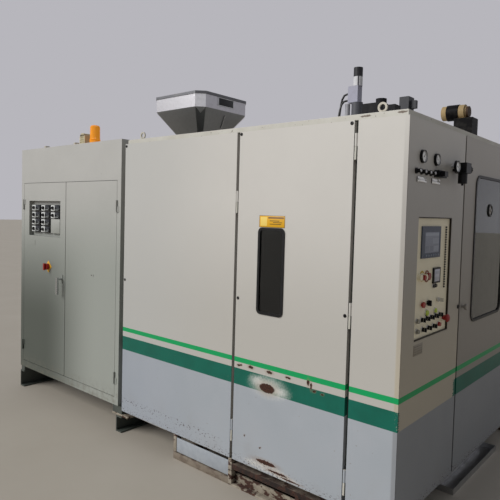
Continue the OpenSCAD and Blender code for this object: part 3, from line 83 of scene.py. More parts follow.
class Tree:
    """A node tree, with short ways to add what masks and colours take."""

    def __init__(self, tree):
        self.tree = tree

    def plug(self, entry, value):
        """Gives an input a plain value, or links it to a socket."""
        if isinstance(value, bpy.types.NodeSocket):
            self.tree.links.new(value, entry)
        else:
            entry.default_value = value

    def add(self, kind, ins=(), **settings):
        """Adds one node with its settings, and with values or links for its inputs, by key or in order."""
        node = self.tree.nodes.new("ShaderNode" + kind)
        for name, value in settings.items():
            setattr(node, name, value)
        for key, value in ins.items() if isinstance(ins, dict) else enumerate(ins):
            self.plug(node.inputs[key], value)
        return node

    def ramp(self, value, low, high):
        """0 at low and 1 at high, with a soft start and end; low may be the larger."""
        return self.add("MapRange", (value, low, high), interpolation_type="SMOOTHSTEP").outputs[0]

    def times(self, *masks):
        """The product of masks."""
        return functools.reduce(lambda a, b: self.add("Math", (a, b), operation="MULTIPLY").outputs[0], masks)

    def either(self, *masks):
        """The largest of masks."""
        return functools.reduce(lambda a, b: self.add("Math", (a, b), operation="MAXIMUM").outputs[0], masks)

    def all_but(self, mask):
        """1 where the mask is 0."""
        return self.add("Math", (1.0, mask), operation="SUBTRACT").outputs[0]

    def between(self, value, low, high, soft):
        """1 where a value lies between low and high, with edges that reach soft to each side."""
        return self.times(self.ramp(value, low - soft, low + soft), self.ramp(value, high + soft, high - soft))

    def blend(self, mask, under, over):
        """Colour over colour where the mask is 1."""
        under, over = (linear(c) if isinstance(c, str) else c for c in (under, over))
        return self.add("Mix", {0: mask, 6: under, 7: over}, data_type="RGBA").outputs[2]


class Coat(Tree):
    """A material, with the place on the machine in millimetres from the corner and its x, y and z."""

    def __init__(self, name, metallic=0.0, roughness=0.5, gloss=0.5):
        self.material = bpy.data.materials.new(name)
        self.material.use_nodes = True
        super().__init__(self.material.node_tree)
        self.shader = self.tree.nodes["Principled BSDF"]
        self.set("Metallic", metallic)
        self.set("Roughness", roughness)
        self.set("Specular IOR Level", gloss)
        metres = self.add("TexCoord").outputs["Object"]
        self.place = self.add("VectorMath", (metres, (1000, 1000, 1000), tuple(-1000 * CORNER)),
                              operation="MULTIPLY_ADD").outputs[0]
        self.axes = self.add("SeparateXYZ", (self.place,)).outputs

    def set(self, name, value):
        """Gives an input of the shader a value or a link."""
        self.plug(self.shader.inputs[name], value)

    def speckle(self, size, low, high, detail=4.0, stretch=(1, 1, 1)):
        """Cloudy mask with marks of about the given size in millimetres; low and high set its edge."""
        scaled = self.add("VectorMath", (self.place, tuple(s / size for s in stretch)), operation="MULTIPLY")
        cloud = self.add("TexNoise", {"Vector": scaled.outputs[0], "Scale": 1.0, "Detail": detail, "Roughness": 0.6})
        return self.ramp(cloud.outputs[0], low, high)

    def marks_on_front(self, marks, ragged, soft):
        """1 inside ragged ellipses on the front face, each (x, z, half width, half height) in millimetres."""
        scaled = self.add("VectorMath", (self.place, (0.09, 0.09, 0.09)), operation="MULTIPLY").outputs[0]
        wander = self.add("TexNoise", {"Vector": scaled, "Scale": 1.0, "Detail": 5.0}).outputs["Color"]
        push = self.add("VectorMath", (wander, (-0.5, -0.5, -0.5)), operation="ADD").outputs[0]
        moved = self.add("VectorMath", (push, (ragged, 0, ragged), self.place), operation="MULTIPLY_ADD").outputs[0]
        shares = []
        for x, z, wide, high in marks:
            away = self.add("VectorMath", (moved, (-x, 0, -z)), operation="ADD").outputs[0]
            away = self.add("VectorMath", (away, (1 / wide, 0, 1 / high)), operation="MULTIPLY").outputs[0]
            shares.append(self.add("VectorMath", (away,), operation="LENGTH").outputs["Value"])
        nearest = functools.reduce(lambda a, b: self.add("Math", (a, b), operation="MINIMUM").outputs[0], shares)
        return self.times(self.ramp(nearest, 1 + soft, 1 - soft), self.ramp(self.axes[1], 60, 40))

    def relief(self, height, depth):
        """Bump from a mask, depth in millimetres."""
        bump = self.add("Bump", {"Strength": 1.0, "Distance": depth * MM, "Height": height})
        self.set("Normal", bump.outputs[0])

    def sprayed(self):
        """The 2.5 mm orange peel of sprayed paint."""
        self.relief(self.speckle(2.5, 0.2, 0.8, detail=1.0), 0.04)


# Camera, floor and light


def place_camera():
    """Standing height, to the right of the machine, looking along its front."""
    yaw, pitch, roll = math.radians(40.634), math.radians(-2.709), math.radians(1.542)
    ahead = Vector((-math.sin(yaw) * math.cos(pitch), math.cos(yaw) * math.cos(pitch), math.sin(pitch)))
    level = Vector((math.cos(yaw), math.sin(yaw), 0.0))
    above = level.cross(ahead)
    standing_at = (2.6645, -3.1184, 1.5048)
    right = math.cos(roll) * level + math.sin(roll) * above
    up = -math.sin(roll) * level + math.cos(roll) * above
    data = bpy.data.cameras.new("camera")
    data.sensor_width = 36
    data.sensor_fit = "HORIZONTAL"
    data.lens = 38.49
    data.shift_y = -0.0229
    camera = bpy.data.objects.new("camera", data)
    turn = Matrix((right, up, -ahead)).transposed().to_4x4()
    camera.matrix_world = Matrix.Translation(standing_at) @ turn
    scene.collection.objects.link(camera)
    scene.camera = camera


def light_the_room():
    """A pale world for the eye and the reflections, a plain level of light for the surfaces."""
    world = bpy.data.worlds.new("room")
    world.use_nodes = True
    world.node_tree.nodes.clear()
    room = Tree(world.node_tree)
    rays = room.add("LightPath").outputs
    seen = room.either(*(rays[kind] for kind in ("Is Camera Ray", "Is Glossy Ray", "Is Transmission Ray")))
    # less fill comes from beyond the operator end, which faces a darker part of the hall
    facing = room.add("SeparateXYZ", (room.add("TexCoord").outputs["Generated"],)).outputs[0]
    level = room.add("Math", (room.ramp(facing, -0.3, 0.9), -0.11, 0.36), operation="MULTIPLY_ADD").outputs[0]
    fill = room.add("Background", {"Color": linear("#EEF2F8"), "Strength": level}).outputs[0]
    wall = room.add("Background", {"Color": linear("#B7B6BC"), "Strength": 1.0}).outputs[0]
    both = room.add("MixShader", (seen, fill, wall)).outputs[0]
    room.add("OutputWorld", (both,)).is_active_output = True
    scene.world = world

    data = bpy.data.lights.new("high_windows", "SUN")
    data.energy = 2.5
    data.angle = math.radians(35)
    data.color = (1.0, 0.985, 0.96)
    lamp = bpy.data.objects.new("high_windows", data)
    toward = Vector((0.42, 0.74, -0.52)).normalized()
    lamp.rotation_euler = toward.to_track_quat("-Z", "Y").to_euler()
    lamp.location = (-2.0, -5.0, 5.0)
    scene.collection.objects.link(lamp)


def lay_floor():
    """Plain pale screed, a little uneven in tone."""
    mesh = bpy.data.meshes.new("floor")
    half = 60.0
    mesh.from_pydata([(-half, -half, 0), (half, -half, 0), (half, half, 0), (-half, half, 0)], [], [(0, 1, 2, 3)])
    floor = bpy.data.objects.new("floor", mesh)
    scene.collection.objects.link(floor)
    c = Coat("floor_screed", roughness=0.75)
    metres = c.add("TexCoord").outputs["Object"]
    cloud = c.add("TexNoise", {"Vector": metres, "Scale": 1.4, "Detail": 6.0, "Roughness": 0.6}).outputs[0]
    c.set("Base Color", c.blend(cloud, "#A8A094", "#B4ADA2"))
    mesh.materials.append(c.material)


# Finishes


def rust_colour(c):
    """Brown scale with orange bloom, marks of about 6 mm."""
    return c.blend(c.speckle(6, 0.35, 0.65), RUST_DARK, RUST_LIGHT)


# Marks on the right front door, each (x, z, half width, half height): rust, paint rubbed off round it, cracked paint
RUST_MARKS = [(-921, 682, 11, 6), (-905, 686, 7, 4), (-835, 688, 17, 8), (-708, 687, 19, 8), (-593, 686, 12, 6),
              (-580, 684, 8, 5), (-467, 689, 8, 14), (-450, 676, 6, 16), (-430, 655, 9, 6), (-384, 650, 8, 4),
              (-722, 600, 50, 24), (-757, 275, 5, 4), (-716, 207, 66, 11), (-640, 178, 60, 6), (-560, 166, 60, 4),
              (-868, 310, 5, 5)]
BARE_MARKS = [(-715, 608, 84, 40), (-775, 622, 50, 26), (-650, 600, 52, 26)]
CRACKED_MARKS = [(-720, 182, 130, 20), (-600, 170, 90, 14)]


def enclosure_paint():
    """Powder coat on sheet steel: cream above, blue-grey below, two green stripes, years of dirt and rust, and painted
    shade toward the bottom, the left end and over the end face.
    """
    c = Coat("enclosure_paint", roughness=0.42, gloss=0.35)
    x, y, z = c.axes
    on_end = c.ramp(x, -25, -15)
    # slow change of tone over a panel
    cream = c.blend(c.speckle(420, 0.3, 0.7), "#C9C6C1", "#CCC9C4")
    # painted shade: the cream turns darker toward the bottom and greyer toward the left end
    cream = c.blend(c.ramp(z, 1650, 850), cream, "#B6B3AD")
    cream = c.blend(c.times(c.ramp(x, -900, -1800), 0.6), cream, "#B4B5B3")
    # painted shade: the leaf with the window is darker, as it faces a darker part of the hall; in front of it the end
    # face turns paler toward the bottom
    cream = c.blend(c.times(on_end, c.ramp(y, 690, 705), 0.4), cream, "#8B8277")
    cream = c.blend(c.times(on_end, c.ramp(z, 1500, 700), c.ramp(y, 700, 680)), cream, "#D2C9B6")
    blue = c.blend(c.speckle(300, 0.3, 0.7), "#9FA5AC", "#A5AAB1")
    # painted shade: the blue turns darker toward the left end
    blue = c.blend(c.times(c.ramp(x, -1000, -1900), 0.45), blue, "#969DA9")
    # stripes and blue are on the outside only: there the surface faces away from the enclosure's middle
    away = c.add("VectorMath", (c.place, (-975, 975, 975)), operation="SUBTRACT").outputs[0]
    outward = c.add("VectorMath", (away, c.add("TexCoord").outputs["Normal"]), operation="DOT_PRODUCT")
    outside = c.ramp(outward.outputs["Value"], 0.0, 1.0)
    colour = c.blend(c.times(c.ramp(z, BLUE_TOP + 0.5, BLUE_TOP - 0.5), outside), cream, blue)
    thick = c.times(c.between(z, *THICK_STRIPE, 0.35), outside)
    thin = c.times(c.between(z, *THIN_STRIPE, 0.4), outside)
    # painted shade: the end face turns darker toward its top
    colour = c.blend(c.times(on_end, c.ramp(z, 2050, 1500), 0.34), colour, "#4A4038")
    # the thick stripe leaves the end face bare between two brushed ends
    brushed = c.add("Math", (c.speckle(9, 0.2, 0.8, stretch=(1, 0.5, 2)), 34.0, y), operation="MULTIPLY_ADD")
    bare = c.times(c.ramp(x, -20, -10), c.between(brushed.outputs[0], 27, 671, 1))
    green = c.blend(c.speckle(160, 0.3, 0.7), "#005A4A", "#006352")
    colour = c.blend(c.times(thick, c.all_but(bare)), colour, green)
    colour = c.blend(thin, colour, "#029A58")
    # grey grime that thickens toward the floor
    grime = c.times(c.ramp(z, 520, 150), c.speckle(150, 0.40, 0.85, detail=5.0), 0.22)
    colour = c.blend(grime, colour, "#6F6A60")
    # scuffs and chips along the bottom edges
    chips = c.times(c.ramp(z, 215, 160), c.speckle(15, 0.56, 0.62, detail=7.0, stretch=(1, 1, 2.2)))
    scuffs = c.times(c.between(z, 211, 251, 11), c.ramp(x, -1000, -1120), c.ramp(y, 60, 40),
                     c.speckle(11, 0.56, 0.62, detail=6.0, stretch=(0.6, 1, 1)))
    chips = c.either(chips, c.times(scuffs, 0.8))
    specks = c.times(c.speckle(26, 0.71, 0.74, detail=2.0), c.ramp(z, 900, 300))
    colour = c.blend(c.times(c.marks_on_front(BARE_MARKS, 46, 0.95), 0.95), colour, "#CFD0CC")
    cracked = c.times(c.marks_on_front(CRACKED_MARKS, 30, 0.4), c.speckle(9, 0.42, 0.5, detail=3.0))
    colour = c.blend(cracked, colour, "#C2C0BC")
    bloom = c.marks_on_front([(left, up, w * 1.5, h * 1.7) for left, up, w, h in RUST_MARKS], 22, 0.4)
    colour = c.blend(c.times(bloom, 0.35), colour, "#8E7358")
    rusty = c.either(chips, c.marks_on_front(RUST_MARKS, 14, 0.1))
    colour = c.blend(c.times(specks, 0.5), colour, "#7D7466")
    colour = c.blend(rusty, colour, rust_colour(c))
    c.set("Base Color", colour)
    c.set("Roughness", c.add("Mix", {0: rusty, 2: 0.40, 3: 0.9}).outputs[0])
    # orange peel of the powder coat, and rust that has lifted
    peel = c.speckle(2.5, 0.2, 0.8, detail=1.0)
    c.relief(c.add("Math", (rusty, 8.0, peel), operation="MULTIPLY_ADD").outputs[0], 0.05)
    return c.material


def worn_paint(name, colour, shade, dirt_top=500, wear=0.4):
    """Sprayed enamel with a slow change of tone, dirt toward the floor and small dark chips."""
    c = Coat(name, roughness=0.45)
    z = c.axes[2]
    tone = c.blend(c.speckle(380, 0.3, 0.7), colour, shade)
    grime = c.times(c.ramp(z, dirt_top, 0), c.speckle(60, 0.35, 0.7, detail=8.0), wear)
    tone = c.blend(grime, tone, DIRT)
    chips = c.times(c.speckle(22, 0.70, 0.73, detail=3.0), wear)
    tone = c.blend(chips, tone, DIRT)
    c.set("Base Color", tone)
    c.sprayed()
    return c.material


def cabinet_enamel():
    """Light grey enamel with painted shade, darker and greener toward the floor and darkest low on the left door, and
    with dirt near the floor.
    """
    c = Coat("cabinet_enamel", roughness=0.42)
    x, _, z = c.axes
    tone = c.blend(c.speckle(380, 0.3, 0.7), "#B3B2AE", "#B8B7B3")
    # painted shade: the enamel turns darker and greener lower down, and much darker low on the left door
    tone = c.blend(c.ramp(z, 1850, 1000), tone, "#989C96")
    film = c.times(c.ramp(z, 1550, 600), c.ramp(x, -2250, -3000), 0.95)
    tone = c.blend(film, tone, "#444A43")
    tone = c.blend(c.times(c.ramp(z, 330, 170), c.speckle(40, 0.4, 0.7, detail=8.0), 0.6), tone, "#6B675C")
    chips = c.times(c.speckle(22, 0.71, 0.74, detail=3.0), 0.5)
    tone = c.blend(chips, tone, DIRT)
    c.set("Base Color", tone)
    c.sprayed()
    return c.material


def banded(name, rest, bands, roughness=0.45, metallic=0.0, gloss=0.25):
    """A plain finish in bands, each a list of (axis, low, high) in millimetres and a colour; later ones lie on top."""
    c = Coat(name, metallic, roughness, 0.5 if metallic else gloss)
    tone = rest
    for limits, colour in bands:
        mask = c.times(*(c.between(c.axes[axis], low, high, 0.3) for axis, low, high in limits))
        tone = c.blend(mask, tone, colour)
    tone = c.blend(c.times(c.speckle(24, 0.4, 0.75, detail=6.0), 0.14), tone, "#5D5A55")
    c.set("Base Color", tone)
    c.relief(c.speckle(2.0, 0.2, 0.8, detail=1.0), 0.03)
    return c.material


def frame_enamel():
    """Frame posts in dark grey-green, with the cap rail and the hinge halves sprayed cream like the panels."""
    c = Coat("frame_enamel", roughness=0.5)
    x, y, z = c.axes
    dark = c.blend(c.speckle(90, 0.3, 0.7, detail=6.0), "#4A4F4A", "#3C413D")
    cream = c.blend(c.speckle(160, 0.3, 0.7, detail=6.0), "#C9C7BF", "#BDBAB0")
    outside = c.either(c.ramp(z, 1937, 1938), c.ramp(y, -0.6, -1.2), c.ramp(x, 0.6, 1.2))
    tone = c.blend(outside, dark, cream)
    chips = c.times(c.speckle(18, 0.66, 0.69, detail=4.0), outside)
    knocks = c.marks_on_front([(-215, 1952, 28, 4), (-40, 1953, 24, 5)], 12, 0.2)
    tone = c.blend(c.either(chips, knocks), tone, "#6A5D50")
    c.set("Base Color", tone)
    c.sprayed()
    return c.material


def rusty_base_paint():
    """Old cream paint on the base, flaked to brown rust in patches; the channel's upper rail is rust all over."""
    c = Coat("flaked_base_paint", roughness=0.6)
    x, _, z = c.axes
    cream = c.blend(c.speckle(120, 0.3, 0.7), "#A39B8D", "#8C8375")
    cream = c.blend(c.times(c.speckle(25, 0.4, 0.7, detail=8.0), 0.5), cream, "#675E53")
    last_bay = c.times(c.ramp(x, -976, -984), c.ramp(z, 42, 38))
    cream = c.blend(c.times(last_bay, 0.7), cream, "#6E6256")
    flaked = c.speckle(60, 0.50, 0.56, detail=7.0, stretch=(1, 1, 2))
    flaked = c.times(flaked, c.all_but(c.times(last_bay, 0.7)))
    rail = c.times(c.ramp(x, -958, -955), c.between(z, 94, 124, 2))
    flaked = c.either(flaked, rail)
    colour = c.blend(flaked, cream, rust_colour(c))
    colour = c.blend(c.times(rail, c.speckle(45, 0.3, 0.6)), colour, "#1C120E")
    c.set("Base Color", colour)
    c.set("Roughness", c.add("Mix", {0: flaked, 2: 0.5, 3: 0.92}).outputs[0])
    c.relief(flaked, 0.4)
    return c.material


def bare_steel(name, colour, roughness=0.35, grain=(1, 1, 1)):
    """Mill-finished or brushed steel: fine lines along the grain, and dull smears of handling."""
    c = Coat(name, metallic=1.0, roughness=roughness)
    lines = c.speckle(1.2, 0.2, 0.8, detail=2.0, stretch=grain)
    dull = c.speckle(90, 0.35, 0.7, detail=6.0)
    tone = c.blend(c.times(dull, 0.25), colour, "#8C8B88")
    c.set("Base Color", tone)
    c.set("Roughness", c.add("Math", (dull, 0.18, roughness - 0.05), operation="MULTIPLY_ADD").outputs[0])
    c.relief(lines, 0.02)
    return c.material


def moulded(name, colour, shade, roughness=0.45, gloss=0.5):
    """Moulded plastic or rubber with a fine grain and a trace of dust."""
    c = Coat(name, roughness=roughness, gloss=gloss)
    c.set("Base Color", c.blend(c.speckle(30, 0.3, 0.7, detail=5.0), colour, shade))
    c.relief(c.speckle(1.2, 0.3, 0.7, detail=1.0), 0.03)
    return c.material


def window_glass(name, tint, dusty, gloss):
    """Tinted float glass with a thin, cloudy film of dust."""
    c = Coat(name, roughness=0.03, gloss=gloss)
    c.set("IOR", 1.45)
    c.set("Base Color", linear(tint))
    c.set("Transmission Weight", 1.0)
    dust = c.add("BsdfDiffuse", {"Color": linear("#8E8C88")}).outputs[0]
    mask = c.times(c.speckle(70, 0.3, 0.8, detail=8.0), dusty)
    both = c.add("MixShader", (mask, c.shader.outputs[0], dust)).outputs[0]
    c.plug(c.tree.nodes["Material Output"].inputs["Surface"], both)
    return c.material


def dress_nodes():
    """Gives each CAD node the finish of its slot, or its own; returns the finishes by slot."""
    finishes = {
        "panel_paint": enclosure_paint(),
        "cabinet_paint": cabinet_enamel(),
        "frame_paint": frame_enamel(),
        "base_paint": rusty_base_paint(),
        "machine_paint": worn_paint("machine_enamel", "#6B7682", "#5F6B78"),
        "gear_paint": worn_paint("gearbox_enamel", "#5B6D62", "#526257"),
        "motor_paint": worn_paint("motor_enamel", "#4C6472", "#445A68"),
        "beige_paint": worn_paint("motor_beige_enamel", "#A39275", "#8F7F66"),
        "plate_paint": worn_paint("control_plate_paint", "#F2E9CE", "#EBE2C7", dirt_top=0.1, wear=0.1),
        "steel_bright": bare_steel("stainless_sheet", "#B9BABB", grain=(1, 1, 0.05)),
        "steel_dark": bare_steel("oiled_steel", "#55534F", roughness=0.5),
        "steel_ground": bare_steel("ground_steel", "#C9CACC", roughness=0.2),
        "mould_metal": bare_steel("machined_aluminium", "#C4C6C8", roughness=0.3),
        "seal_rubber": moulded("seal_rubber", "#131314", "#1A1A1B", roughness=0.42, gloss=0.25),
        "belt_rubber": moulded("belt_rubber", "#141414", "#1E1D1C", roughness=0.65),
        "hose_rubber": moulded("hose_rubber", "#101011", "#19191A", roughness=0.45),
        "window_glass": window_glass("door_window_glass", "#5C625F", 0.08, 0.42),
        "black_plastic": moulded("black_plastic", "#0C0C0E", "#131315", roughness=0.38, gloss=0.22),
        "screen_plastic": moulded("screen_housing", "#3C4658", "#434D60", roughness=0.35, gloss=0.3),
        "red_plastic": moulded("red_plastic", "#8E1611", "#9B1D16", roughness=0.35),
        "orange_plastic": beacon_lens(),
        "gear_plastic": moulded("grey_relay_plastic", "#9A9C9E", "#8E9092", roughness=0.45),
        "cream_plastic": moulded("cream_plastic", "#C9BFA0", "#C1B796", roughness=0.45),
    }
    slots = {row["node"]: row["material_slot"] for row in frame["record"]["subparts"]}
    for name, obj in nodes.items():
        if not obj.material_slots:
            obj.data.materials.append(None)
        for slot in obj.material_slots:
            slot.material = finishes[slots[name]]
    for name, material in single_finishes().items():
        nodes[name].material_slots[0].material = material
    return finishes


def single_finishes():
    """Finishes of nodes that differ from the rest of their slot."""
    cap, box, white = "#2A2A2E", "#A3A3B3", "#D2D2D6"
    actuator = banded("actuator_enamels", "#3C3D42", [
        ([(2, 2070, 2284), (0, -950, -860)], "#55565C"), ([(2, 1960, 2295), (0, -1000, -950)], "#A4A4AA"),
        ([(2, 2283, 2395)], box), ([(2, 2395, 2457.5)], white), ([(2, 2395, 2457.5), (0, -892, -884)], "#4A4A50"),
        ([(2, 2457.5, 2530)], cap)])
    # painted highlights: the two pale bands on the dark unit, whose own sheen is turned down
    motor = banded("fan_motor_enamels_painted_highlights", "#232326", [
        ([(0, -211, -181), (2, 2050, 2150)], "#A58F69"), ([(0, -181, -114), (2, 2050, 2150)], "#0B0A0C"),
        ([(0, -114, -76), (2, 2050, 2150)], "#9C8865"), ([(0, -76, -49), (2, 2050, 2150)], "#46362A"),
        ([(0, -133, -30), (2, 1960, 2060)], "#09080A")], gloss=0.06)
    hopper = banded("hopper_steel", "#BDBCBF", [
        ([(2, 1800, 2351)], "#A3A4A6"), ([(2, 2458, 2480)], "#4E4F52"),
        # painted highlight: a near-white strip down the hopper's front right corner
        ([(0, -2202, -2130), (1, 800, 900)], "#F2F2F2")], roughness=0.36, metallic=1.0)
    return {
        "head_actuator": actuator, "roof_units": motor, "hopper": hopper,
        "blow_station": banded("blow_station_enamels", "#5F6B78", [([(2, 2120, 2280)], "#3A3B40")]),
        "lifting_eyes": worn_paint("lifting_eye_cream", "#C4BFB2", "#B7B1A3"),
        "front_window_glass": window_glass("front_window_glass", "#3E4541", 0.02, 0.2),
        "buzzer": buzzer_housing(),
        "start_button": moulded("red_start_cap", "#7E1410", "#8A1812", roughness=0.35),
        "regulator_knob": moulded("black_knob", "#09090A", "#101012", roughness=0.4, gloss=0.06),
    }


def beacon_lens():
    """Ribbed orange lens on a dark foot."""
    ribs = 80
    low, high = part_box("beacon")
    middle = [(low[i] + high[i]) / 2 / MM - CORNER[i] / MM for i in (0, 1)]
    foot = low[2] / MM + 14
    c = Coat("beacon_lens", roughness=0.22)
    x, y, z = c.axes
    across, deep = (c.add("Math", (axis, far), operation="SUBTRACT").outputs[0] for axis, far in zip((x, y), middle))
    turn = c.add("Math", (deep, across), operation="ARCTAN2").outputs[0]
    rib = c.add("Math", (c.times(turn, float(ribs)),), operation="SINE").outputs[0]
    tone = c.blend(c.ramp(rib, -1.0, 1.0), "#E88A06", "#FFA414")
    tone = c.blend(c.ramp(z, foot + 0.4, foot - 0.4), tone, "#3B2A20")
    c.set("Base Color", tone)
    c.set("Emission Color", tone)
    c.set("Emission Strength", 0.3)
    c.relief(rib, 0.5)
    return c.material


def buzzer_housing():
    """Cream moulded housing with dark sound slots near its top."""
    low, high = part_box("buzzer")
    top = high[2] / MM
    left = (low[0] - CORNER[0]) / MM
    starts = [left + 8 + i * 15 for i in range(4)]
    slots = [([(0, start, start + 7), (2, top - 26, top - 8)], "#4A3220") for start in starts]
    return banded("buzzer_cream", "#C9BFA0", slots)


# Shapes


def box_in(shape, x, y, z, soft=0.0):
    """A box between pairs of millimetres from the corner, its edges rounded by soft."""
    size = Vector((x[1] - x[0], y[1] - y[0], z[1] - z[0])) * MM
    middle = spot((x[0] + x[1]) / 2, (y[0] + y[1]) / 2, (z[0] + z[1]) / 2)
    made = bmesh.ops.create_cube(shape, size=1.0, matrix=Matrix.Translation(middle) @ Matrix.Diagonal((*size, 1.0)))
    if soft:
        edges = list({e for v in made["verts"] for e in v.link_edges})
        bmesh.ops.bevel(shape, geom=edges, offset=soft * MM, segments=2, affect="EDGES", profile=0.5)


def turned(shape, start, along, profile, sides=32):
    """A closed turned form: pairs of (distance along the axis, radius) in millimetres from a starting point."""
    axis = Vector(along).normalized()
    side = axis.orthogonal().normalized()
    other = axis.cross(side)
    rings = []
    for distance, radius in profile:
        middle = start + axis * distance * MM
        if radius < 1e-6:
            rings.append([shape.verts.new(middle)])
            continue
        rings.append([shape.verts.new(middle + (side * math.cos(a) + other * math.sin(a)) * radius * MM)
                      for a in (2 * math.pi * i / sides for i in range(sides))])
    for near, far in zip(rings, rings[1:]):
        for i in range(sides):
            j = (i + 1) % sides
            loop = [near[i % len(near)], near[j % len(near)], far[j % len(far)], far[i % len(far)]]
            loop = [v for n, v in enumerate(loop) if v not in loop[:n]]
            if len(loop) > 2:
                shape.faces.new(loop)
    for ring in (rings[0], rings[-1]):
        if len(ring) > 1:
            shape.faces.new(ring)


def turned_ring(shape, start, along, profile, sides=32):
    """A ring turned from a closed outline that doesn't reach its axis."""
    axis = Vector(along).normalized()
    side = axis.orthogonal().normalized()
    other = axis.cross(side)
    rings = [[shape.verts.new(start + axis * d * MM + (side * math.cos(a) + other * math.sin(a)) * r * MM)
              for d, r in profile] for a in (2 * math.pi * i / sides for i in range(sides))]
    count = len(profile)
    for near, far in zip(rings, rings[1:] + rings[:1]):
        for i in range(count):
            j = (i + 1) % count
            shape.faces.new([near[i], near[j], far[j], far[i]])


def round_bar(shape, start, end, radius):
    """A round bar between two points, closed at both ends."""
    turned(shape, start, end - start, [(0, radius), ((end - start).length / MM, radius)], sides=12)


def finish_piece(shape, name, material, body):
    """Makes a finished piece of a shape, smooth except at its corners, that rides on a body."""
    bmesh.ops.remove_doubles(shape, verts=shape.verts, dist=1e-6)
    bmesh.ops.recalc_face_normals(shape, faces=shape.faces)
    mesh = bpy.data.meshes.new(name)
    shape.to_mesh(mesh)
    shape.free()
    mesh.shade_smooth()
    mesh.set_sharp_from_angle(angle=math.radians(35))
    mesh.materials.append(material)
    obj = bpy.data.objects.new(name, mesh)
    scene.collection.objects.link(obj)
    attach(obj, body)
    return obj


def slot_piece(shape, name, slot, body):
    """A finished piece in the finish of a slot."""
    finish_piece(shape, name, finishes[slot], body)


def stud_tree():
    """Geometry Nodes for a straight row of round or hexagonal heads, each turned at random about its own axis."""
    tree = bpy.data.node_groups.new("stud_row", "GeometryNodeTree")
    tree.interface.new_socket("Geometry", in_out="OUTPUT", socket_type="NodeSocketGeometry")
    inputs = {"Count": "Int", "Sides": "Int", "Seed": "Int", "Start": "Vector", "Step": "Vector", "Facing": "Vector",
              "Radius": "Float", "Proud": "Float", "Material": "Material"}
    for label, kind in inputs.items():
        tree.interface.new_socket(label, in_out="INPUT", socket_type="NodeSocket" + kind)
    given = tree.nodes.new("NodeGroupInput").outputs
    line = tree.nodes.new("GeometryNodeMeshLine")
    line.mode = "OFFSET"
    head = tree.nodes.new("GeometryNodeMeshCylinder")
    face = tree.nodes.new("FunctionNodeAlignRotationToVector")
    chance = tree.nodes.new("FunctionNodeRandomValue")
    chance.data_type = "FLOAT"
    angle = tree.nodes.new("ShaderNodeCombineXYZ")
    turn = tree.nodes.new("FunctionNodeEulerToRotation")
    heads = tree.nodes.new("GeometryNodeInstanceOnPoints")
    turned_heads = tree.nodes.new("GeometryNodeRotateInstances")
    real = tree.nodes.new("GeometryNodeRealizeInstances")
    coat = tree.nodes.new("GeometryNodeSetMaterial")
    out = tree.nodes.new("NodeGroupOutput")
    chance.inputs[3].default_value = math.tau
    for source, target in (
            (given["Count"], line.inputs["Count"]), (given["Start"], line.inputs["Start Location"]),
            (given["Step"], line.inputs["Offset"]), (given["Sides"], head.inputs["Vertices"]),
            (given["Radius"], head.inputs["Radius"]), (given["Proud"], head.inputs["Depth"]),
            (given["Facing"], face.inputs["Vector"]), (given["Seed"], chance.inputs["Seed"]),
            (chance.outputs[1], angle.inputs["Z"]), (angle.outputs[0], turn.inputs[0]),
            (line.outputs[0], heads.inputs["Points"]), (head.outputs["Mesh"], heads.inputs["Instance"]),
            (face.outputs[0], heads.inputs["Rotation"]), (heads.outputs[0], turned_heads.inputs["Instances"]),
            (turn.outputs[0], turned_heads.inputs["Rotation"]), (turned_heads.outputs[0], real.inputs[0]),
            (real.outputs[0], coat.inputs["Geometry"]), (given["Material"], coat.inputs["Material"]),
            (coat.outputs[0], out.inputs[0])):
        tree.links.new(source, target)
    return tree


def studs(name, body, rows, sides, radius, proud, slot):
    """Rows of heads as one plain mesh; each row is (first point, step in millimetres, count, direction it faces)."""
    tree = bpy.data.node_groups.get("stud_row") or stud_tree()
    sockets = {item.name: item.identifier for item in tree.interface.items_tree if item.in_out == "INPUT"}
    shape = bmesh.new()
    for number, (start, step, count, facing) in enumerate(rows):
        carrier = bpy.data.objects.new(name + "_row", bpy.data.meshes.new(name + "_row"))
        scene.collection.objects.link(carrier)
        grow = carrier.modifiers.new("studs", "NODES")
        grow.node_group = tree
        values = {"Count": count, "Sides": sides, "Seed": 7 + number, "Start": start, "Step": Vector(step) * MM,
                  "Facing": Vector(facing), "Radius": radius * MM, "Proud": proud * MM, "Material": finishes[slot]}
        for label, value in values.items():
            grow[sockets[label]] = value
        carrier.update_tag()
        grown = bpy.data.meshes.new_from_object(carrier.evaluated_get(bpy.context.evaluated_depsgraph_get()))
        shape.from_mesh(grown)
        carrier.modifiers.remove(grow)
        bpy.data.objects.remove(carrier)
    slot_piece(shape, name, slot, body)


def dress_screws():
    """Hexagon screws that hold the fixed panels, in two rows each along the rear and the left side."""
    heights = (166, 1925)
    rows = [(spot(-1932, 1951, z), (155, 0, 0), 13, TO_REAR) for z in heights]
    rows += [(spot(-1963, 60, z), (0, 152.5, 0), 13, TO_LEFT) for z in heights]
    studs("panel_screws", "machine", rows, 6, 6.5, 5, "steel_dark")


# The control panel

# The control plate's face, and the lower front corner of the recess that it lies in
PLATE_X, PLATE_Y, PLATE_Z = -10.0, 132.0, 949.0
PLATE_WIDE, PLATE_HIGH = 401, 560
# Lower front corners of the screen's housing and of the counter on the plate
SCREEN_AT, COUNTER_AT = (58, 371), (205, 247)


def on_plate(y, z, x=0.0):
    """A place on the control plate, from the recess's lower front corner."""
    return spot(PLATE_X + x, PLATE_Y + y, PLATE_Z + z)


def box_on_plate(shape, x, y, z, soft=0.0):
    """A box between pairs of millimetres from the recess's lower front corner."""
    box_in(shape, [PLATE_X + v for v in x], [PLATE_Y + v for v in y], [PLATE_Z + v for v in z], soft)


